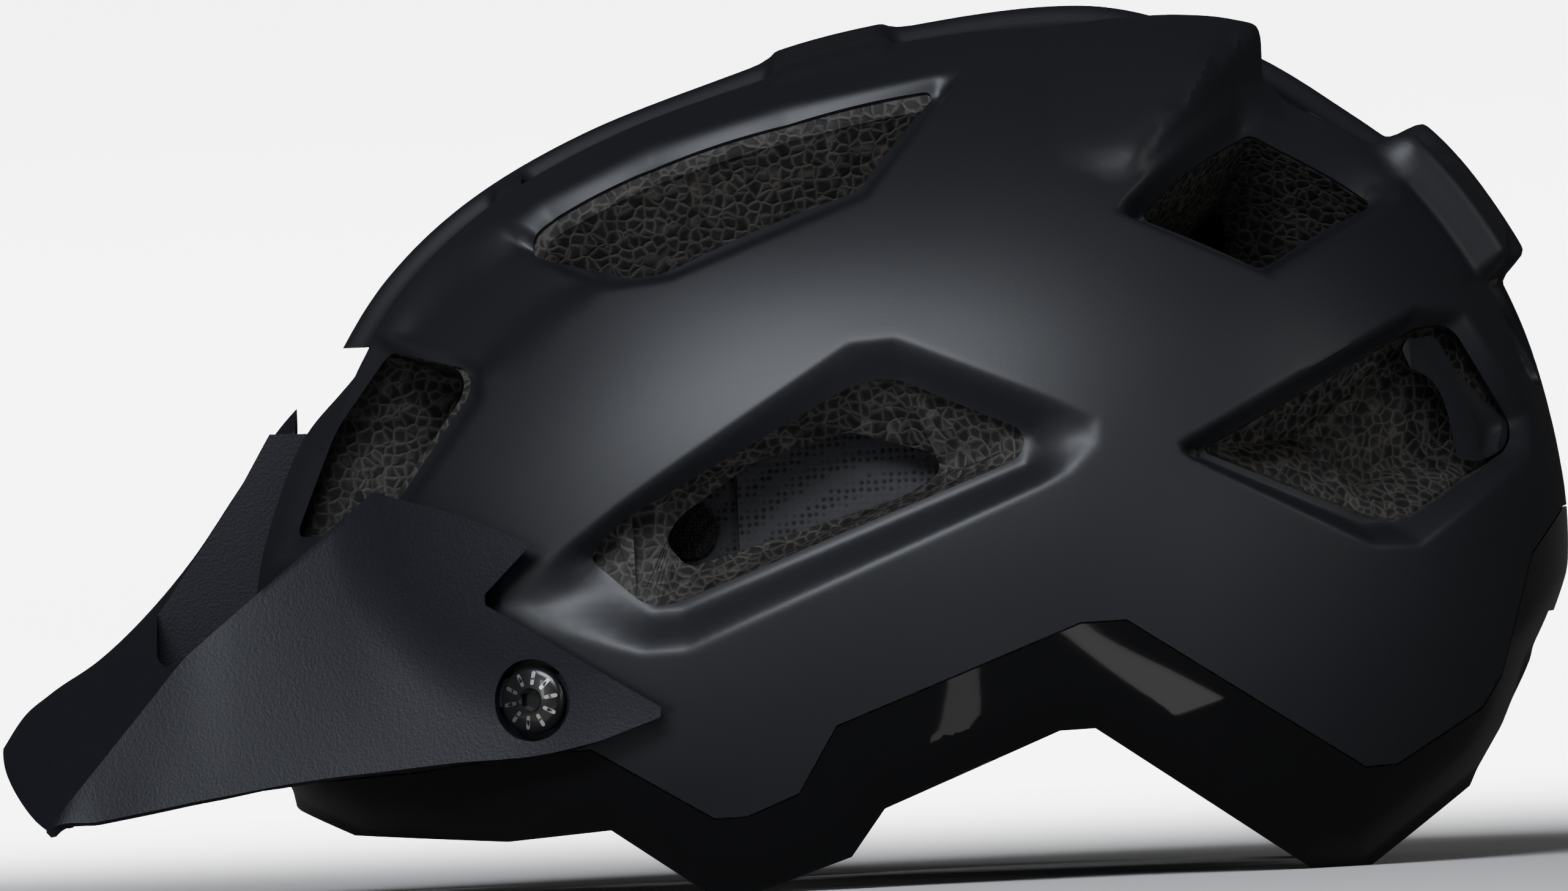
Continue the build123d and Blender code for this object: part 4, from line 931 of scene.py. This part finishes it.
def hook_tape():
    mat, tree, shader = material("hook_tape", (0.012, 0.012, 0.013), 0.9)
    hooks = texture(tree, "Voronoi", Scale=1300.0, Randomness=0.5).outputs["Distance"]
    tint = ramp(tree, hooks, [(0.0, (0.045, 0.045, 0.047)), (0.5, (0.006, 0.006, 0.006))])
    tree.links.new(tint, shader.inputs["Base Color"])
    bump(tree, shader, hooks, 0.8, 0.0004)
    return mat


# %% Give every frame part its finish
FINISH |= {
    "anchor_plastic": moulded("anchor_nylon", (0.010, 0.010, 0.011), (0.015, 0.015, 0.016), 0.46),
    "buckle_plastic": moulded("buckle_acetal", (0.007, 0.007, 0.008), (0.011, 0.011, 0.012), 0.34, 2200, 0.2),
    "fit_plastic": moulded("fit_nylon", (0.011, 0.011, 0.012), (0.016, 0.016, 0.017), 0.42, 1500, 0.35),
    "gear_plastic": moulded("gear_acetal", (0.020, 0.020, 0.021), (0.028, 0.028, 0.030), 0.36, 2000, 0.2),
    "knob_rubber": moulded("knob_rubber", (0.012, 0.012, 0.012), (0.018, 0.018, 0.018), 0.72, 2600, 0.5),
    "insert_brass": moulded("turned_brass", (0.62, 0.45, 0.17), (0.78, 0.60, 0.28), 0.30, 900, 0.15,
                            Metallic=1.0),
    "webbing": woven_webbing(), "pad_fabric": knitted_mesh(), "hook_tape": hook_tape(),
}
SLOT_OF = {part["node"]: part["material_slot"] for part in frame["record"]["subparts"]}
for name, part in frame["nodes"].items():
    part.data.materials.clear()
    part.data.materials.append(FINISH[SLOT_OF[name]])
print("finishes", len(FINISH))


# %% [markdown]
# ## Pads
# A pad is soft foam in a knitted cover, welded flat round its edge. The plain block is shrunk a little,
# made an even mesh, and blown up as cloth, so that it crowns in the middle and pulls in at its corners.

# %% Pads by cloth simulation
PAD_NAMES = ["brow_pad", "crown_pad_centre"] + [f"{kind}_{side}" for kind in
             ("crown_pad", "rear_pad", "side_pad", "cradle_pad") for side in ("left", "right")]
VOXEL, SHRINK, MOST_SWELL = 0.0026, 0.0011, 0.0014


def evaluated(piece):
    return bpy.data.meshes.new_from_object(piece.evaluated_get(bpy.context.evaluated_depsgraph_get()))


def pad_block(name):
    """Even mesh a little smaller than the pad's own solid."""
    bm = bmesh.new()
    bm.from_mesh(frame["nodes"][name].data)
    bm.transform(frame["nodes"][name].matrix_world)
    bmesh.ops.remove_doubles(bm, verts=bm.verts, dist=1e-5)
    outwards(bm)
    block = object_from(bm, f"{name}_cushion")
    even = block.modifiers.new("even", "REMESH")
    even.mode, even.voxel_size = "VOXEL", VOXEL
    mesh = evaluated(block)
    block.modifiers.clear()
    block.data = mesh
    smooth = bmesh.new()
    smooth.from_mesh(mesh)
    smoothed(smooth, 3)
    smooth.normal_update()
    for v in smooth.verts:
        v.co -= v.normal * SHRINK
    smooth.to_mesh(mesh)
    return block


pads = {name: pad_block(name) for name in PAD_NAMES}
rest = {}
for name, pad in pads.items():
    rest[name] = np.array([v.co[:] for v in pad.data.vertices])
    cloth = pad.modifiers.new("swell", "CLOTH")
    cloth.settings.quality = 5
    cloth.settings.use_pressure = True
    cloth.settings.uniform_pressure_force = 4.0
    cloth.settings.effector_weights.gravity = 0.0
    cloth.settings.tension_stiffness = cloth.settings.compression_stiffness = 12
for step in range(1, 21):
    bpy.context.scene.frame_set(step)
for name, pad in pads.items():
    mesh = evaluated(pad)
    moved = np.array([v.co[:] for v in mesh.vertices]) - rest[name]
    far = np.linalg.norm(moved, axis=1)[:, None]
    kept = rest[name] + moved * np.minimum(1, MOST_SWELL / np.maximum(far, 1e-9))
    mesh.vertices.foreach_set("co", kept.ravel())
    pad.modifiers.clear()
    pad.data = mesh
bpy.context.scene.frame_set(1)
for name, pad in pads.items():
    finer = pad.modifiers.new("finer", "SUBSURF")
    finer.levels = finer.render_levels = 1
    pad.data.shade_smooth()
    pad.data.materials.clear()
    pad.data.materials.append(FINISH["pad_fabric"])
    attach(pad, "cradle" if name.startswith("cradle") else "helmet")
    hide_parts(name)
print("pads", {name: len(pad.data.vertices) for name, pad in pads.items()})


# %% [markdown]
# ## Webbing
# Webbing is flat, so it is laid as a thin grid and given its thickness. The side straps lie along the
# inside of the foam: each point of the grid is carried across on a ray until it meets the strap's own
# solid.

# %% Straps
STRAP_WIDE, STRAP_THICK, NET_THICK = 15.0, 1.3, 0.6


def weave_uv(bm, along, across):
    """UV in millimetres over ten, along and across the strap."""
    layer = bm.loops.layers.uv.new("weave")
    for face in bm.faces:
        for loop in face.loops:
            loop[layer].uv = (along[loop.vert.index] / 10, across[loop.vert.index] / 10)


def laid_strip(cells_long, cells_wide, length):
    """Grid over (0..length, -half..half) with its UV map."""
    bm = bmesh.new()
    bmesh.ops.create_grid(bm, x_segments=cells_long, y_segments=cells_wide, size=1.0)
    bm.verts.index_update()
    places = positions(bm)
    t, s = (places[:, 0] + 1) / 2, places[:, 1]
    weave_uv(bm, t * length, s * STRAP_WIDE / 2)
    return bm, t, s


def face_towards(bm, way):
    """Turns an open grid's faces so that they look that way on the whole."""
    outwards(bm)
    if sum((f.normal.dot(way) for f in bm.faces), 0.0) < 0:
        bmesh.ops.reverse_faces(bm, faces=bm.faces)
    bm.normal_update()


def strap_object(bm, name, node_name):
    thickened(bm, STRAP_THICK)
    bm.normal_update()
    edges = [e for e in bm.edges if len(e.link_faces) == 2 and e.calc_face_angle() > 1.0]
    bmesh.ops.bevel(bm, geom=edges, offset=0.3, offset_type="OFFSET", segments=1, profile=0.5, affect="EDGES",
                    material=-1, clamp_overlap=True)
    return finished(bm, name, "helmet", "webbing", [node_name], 50)


def on_solid(node_name, spots, sign):
    """How far out along Y each (x, z) spot meets the frame part's inner face, in millimetres."""
    solid = frame["nodes"][node_name]
    low, high = (Vector(c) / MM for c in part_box(node_name))
    into = solid.matrix_world.inverted()
    turn = into.to_3x3() @ Vector((0, sign, 0))
    reach = np.full(len(spots), np.nan)
    for i, (x, z) in enumerate(spots):
        for slack in (0.3, 1.2, 2.5):
            start = Vector((min(max(x, low.x + slack), high.x - slack), sign * 20,
                            min(max(z, low.z + slack), high.z - slack)))
            hit, spot, _, _ = solid.ray_cast(into @ (start * MM), turn)
            if hit:
                reach[i] = abs((solid.matrix_world @ spot).y) / MM
                break
    missing = np.isnan(reach)
    for i in np.flatnonzero(missing):
        near = np.argmin(np.where(missing, 1e9, np.hypot(*(np.array(spots) - spots[i]).T)))
        reach[i] = reach[near]
    return reach


def side_strap(node_name, foot, head_x, side):
    """Strap from its anchor up to the divider, lying on the inside of the foam. Its ends are level."""
    sign = -1 if side == "left" else 1
    low, high = (Vector(c).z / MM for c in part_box(node_name))
    slope = (head_x - foot[0]) / (90 - foot[1])
    lean = math.sqrt(1 + slope**2)
    bm, t, s = laid_strip(60, 8, (high - low) * lean)
    z = low + 0.1 + (high - low - 0.2) * t
    spots = np.stack([foot[0] + slope * (z - foot[1]) + s * (STRAP_WIDE / 2 - 0.2) * lean, z], axis=1)
    reach = on_solid(node_name, spots, sign)
    move_to(bm, np.stack([spots[:, 0], sign * (reach + STRAP_THICK), z], axis=1))
    face_towards(bm, Vector((0, sign, 0)))
    return strap_object(bm, f"{node_name}_webbing", node_name)


def insect_net(side):
    """Thin net glued on the inside of the foam over the side vent."""
    sign = -1 if side == "left" else 1
    low, high = (Vector(c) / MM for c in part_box(f"vent_net_{side}"))
    low.x -= 3.0  # tucked behind the pad
    bm = bmesh.new()
    bmesh.ops.create_grid(bm, x_segments=40, y_segments=36, size=1.0)
    places = positions(bm)
    middle, half = (low + high) / 2, (high - low) / 2
    spots = np.stack([middle.x + places[:, 0] * (half.x - 0.2),
                      middle.z + places[:, 1] * (half.z - 0.2)], axis=1)
    reach = on_solid(f"vent_net_{side}", spots, sign)
    move_to(bm, np.stack([spots[:, 0], sign * (reach + NET_THICK), spots[:, 1]], axis=1))
    face_towards(bm, Vector((0, sign, 0)))
    thickened(bm, NET_THICK)
    net = finished(bm, f"insect_net_{side}", "helmet", "pad_fabric", [f"vent_net_{side}"], 50)


def chin_webbing(side, end):
    """Chin strap half: up the wall from the divider, then across to the buckle."""
    sign = -1 if side == "left" else 1
    route = np.array([(66.58, 101.2), (64.6, 106.0), (60.95, 110.0), (51.5, 118.8), (44.0, 121.0),
                      (end, 121.0)])
    run = np.concatenate([[0], np.cumsum(np.linalg.norm(np.diff(route, axis=0), axis=1))])
    bm, t, s = laid_strip(70, 8, run[-1])
    y = np.interp(t * run[-1], run, route[:, 0])
    z = np.interp(t * run[-1], run, route[:, 1])
    move_to(bm, np.stack([40 + s * STRAP_WIDE / 2, sign * y, z], axis=1))
    smoothed(bm, 6, [v for v in bm.verts if not v.is_boundary], along_x=False)
    face_towards(bm, Vector((0, sign, 1)))
    for v in bm.verts:
        v.co += v.normal * STRAP_THICK / 2
    return strap_object(bm, f"chin_strap_{side}_webbing", f"chin_strap_{side}")


for side in ("left", "right"):
    side_strap(f"strap_front_{side}", (-13, -4), 33, side)
    side_strap(f"strap_rear_{side}", (103, 7), 47, side)
    insect_net(side)
chin_webbing("left", 19.0)
chin_webbing("right", 27.0)


# %% [markdown]
# ## Fit bands
# The frame's bands run straight back. The real ones are thin, springy straps that arch up over the ear,
# above the low edge of the shell, before they come down to the dial. Each band's own mesh is cut into
# short lengths and those are lifted along a smooth hump.

# %% Arched bands
def hump(x, high=11.5):
    """Lift at each place along the band, in millimetres."""
    return high * ease((x + 40) / 50) * (1 - ease((x - 70) / 36))


def arched(node_name, piece_name):
    part = frame["nodes"][node_name]
    bm = bmesh.new()
    bm.from_mesh(part.data)
    bmesh.ops.transform(bm, matrix=part.matrix_world, verts=bm.verts)
    bmesh.ops.scale(bm, vec=(1 / MM,) * 3, verts=bm.verts)
    bmesh.ops.remove_doubles(bm, verts=bm.verts, dist=1e-3)
    for x in range(-44, 108, 4):
        bmesh.ops.bisect_plane(bm, geom=bm.verts[:] + bm.edges[:] + bm.faces[:], plane_co=(x, 0, 0),
                               plane_no=(1, 0, 0), dist=1e-4)
    places = positions(bm)
    places[:, 2] += hump(places[:, 0])
    move_to(bm, places)
    return finished(bm, piece_name, "cradle", "fit_plastic", [node_name], 40)


for side in ("left", "right"):
    strip = arched(f"belt_{side}", f"fit_band_{side}")
    print(strip.name, len(strip.data.vertices), "vertices")


# %% [markdown]
# ## Camera, floor and lights
# A long lens far away keeps the side view nearly without perspective. One large soft light over the
# camera's shoulder draws the broad sheen on the satin skin.

# %% Stage
VIEW_MIDDLE = Vector((1.9, 0, 94.2)) * MM
VIEW_WIDTH, VIEW_DISTANCE, VIEW_ROLL = 337.2 * MM, 5.0, math.radians(2.395)
camera = bpy.data.objects.new("camera", bpy.data.cameras.new("camera"))
camera.data.sensor_width = 36
camera.data.lens = 36 * VIEW_DISTANCE / VIEW_WIDTH
camera.data.clip_end = 100
camera.matrix_world = (Matrix.Translation(VIEW_MIDDLE + Vector((0, -VIEW_DISTANCE, 0)))
                       @ Matrix.Rotation(VIEW_ROLL, 4, "Y") @ Matrix.Rotation(math.pi / 2, 4, "X"))
bpy.context.scene.collection.objects.link(camera)
bpy.context.scene.camera = camera


def sweep(profile):
    """Wide sheet along X through the (y, z) points of the profile."""
    bm = bmesh.new()
    grown = bm.edges.new([bm.verts.new((x, *profile[0])) for x in (-4, 4)])
    for y, z in profile[1:]:
        made = bmesh.ops.extrude_edge_only(bm, edges=[grown])
        for v in (g for g in made["geom"] if isinstance(g, bmesh.types.BMVert)):
            v.co.y, v.co.z = y, z
        grown = next(g for g in made["geom"] if isinstance(g, bmesh.types.BMEdge))
    return bm


PALE = material("pale_floor", (0.9, 0.9, 0.91), 0.7)[0]
floor = object_from(sweep([(-4, 0), (1.2, 0)]), "floor")
wall = object_from(sweep([(1.2, 0), (1.55, 0.05), (1.85, 0.2), (2.05, 0.5), (2.1, 3.5)]), "wall")
for sheet in (floor, wall):
    sheet.data.shade_smooth()
    sheet.data.materials.append(PALE)
wall.visible_glossy = wall.visible_diffuse = floor.visible_glossy = False


def soft_light(name, place, aim, size, power, colour=(1, 1, 1), spread=180):
    lamp = bpy.data.lights.new(name, "AREA")
    lamp.shape = "RECTANGLE"
    lamp.size, lamp.size_y = size
    lamp.energy = power
    lamp.color = colour
    lamp.spread = math.radians(spread)
    holder = bpy.data.objects.new(name, lamp)
    holder.location = place
    holder.visible_camera = False
    holder.rotation_euler = (Vector(aim) - Vector(place)).to_track_quat("-Z", "Y").to_euler()
    bpy.context.scene.collection.objects.link(holder)


soft_light("key", (-0.55, -1.6, 1.3), (0, 0, 0.1), (1.3, 0.7), 38, (0.90, 0.94, 1.0))
soft_light("back_floor", (0, 1.25, 1.3), (0, 1.3, 0), (4.0, 1.2), 120, spread=50)
soft_light("wall", (0, 1.2, 0.25), (0, 2.2, 0.9), (4.0, 0.2), 70, spread=120)
soft_light("rear_side", (1.5, -0.9, 0.75), (0.1, 0, 0.09), (0.4, 0.8), 3, (0.97, 1.0, 0.95))
soft_light("left_strip", (-1.15, -1.5, 0.30), (0, 0, 0.06), (0.10, 0.5), 1.6)
soft_light("right_strip", (0.95, -1.6, 0.28), (0.05, 0, 0.06), (0.08, 0.45), 1.2)
for label, x, wide, power in (("card_front", -0.16, 0.10, 0.12), ("card_middle", 0.035, 0.016, 0.012),
                              ("card_rear", 0.135, 0.03, 0.035), ("card_back", 0.26, 0.06, 0.06)):
    soft_light(label, (x, -0.42, 0.004), (x, -0.42, 1), (wide, 0.5), power)
world = bpy.data.worlds.new("studio")
world.use_nodes = True
world.node_tree.nodes["Background"].inputs["Color"].default_value = (1, 1, 1, 1)
world.node_tree.nodes["Background"].inputs["Strength"].default_value = 0.04
bpy.context.scene.world = world
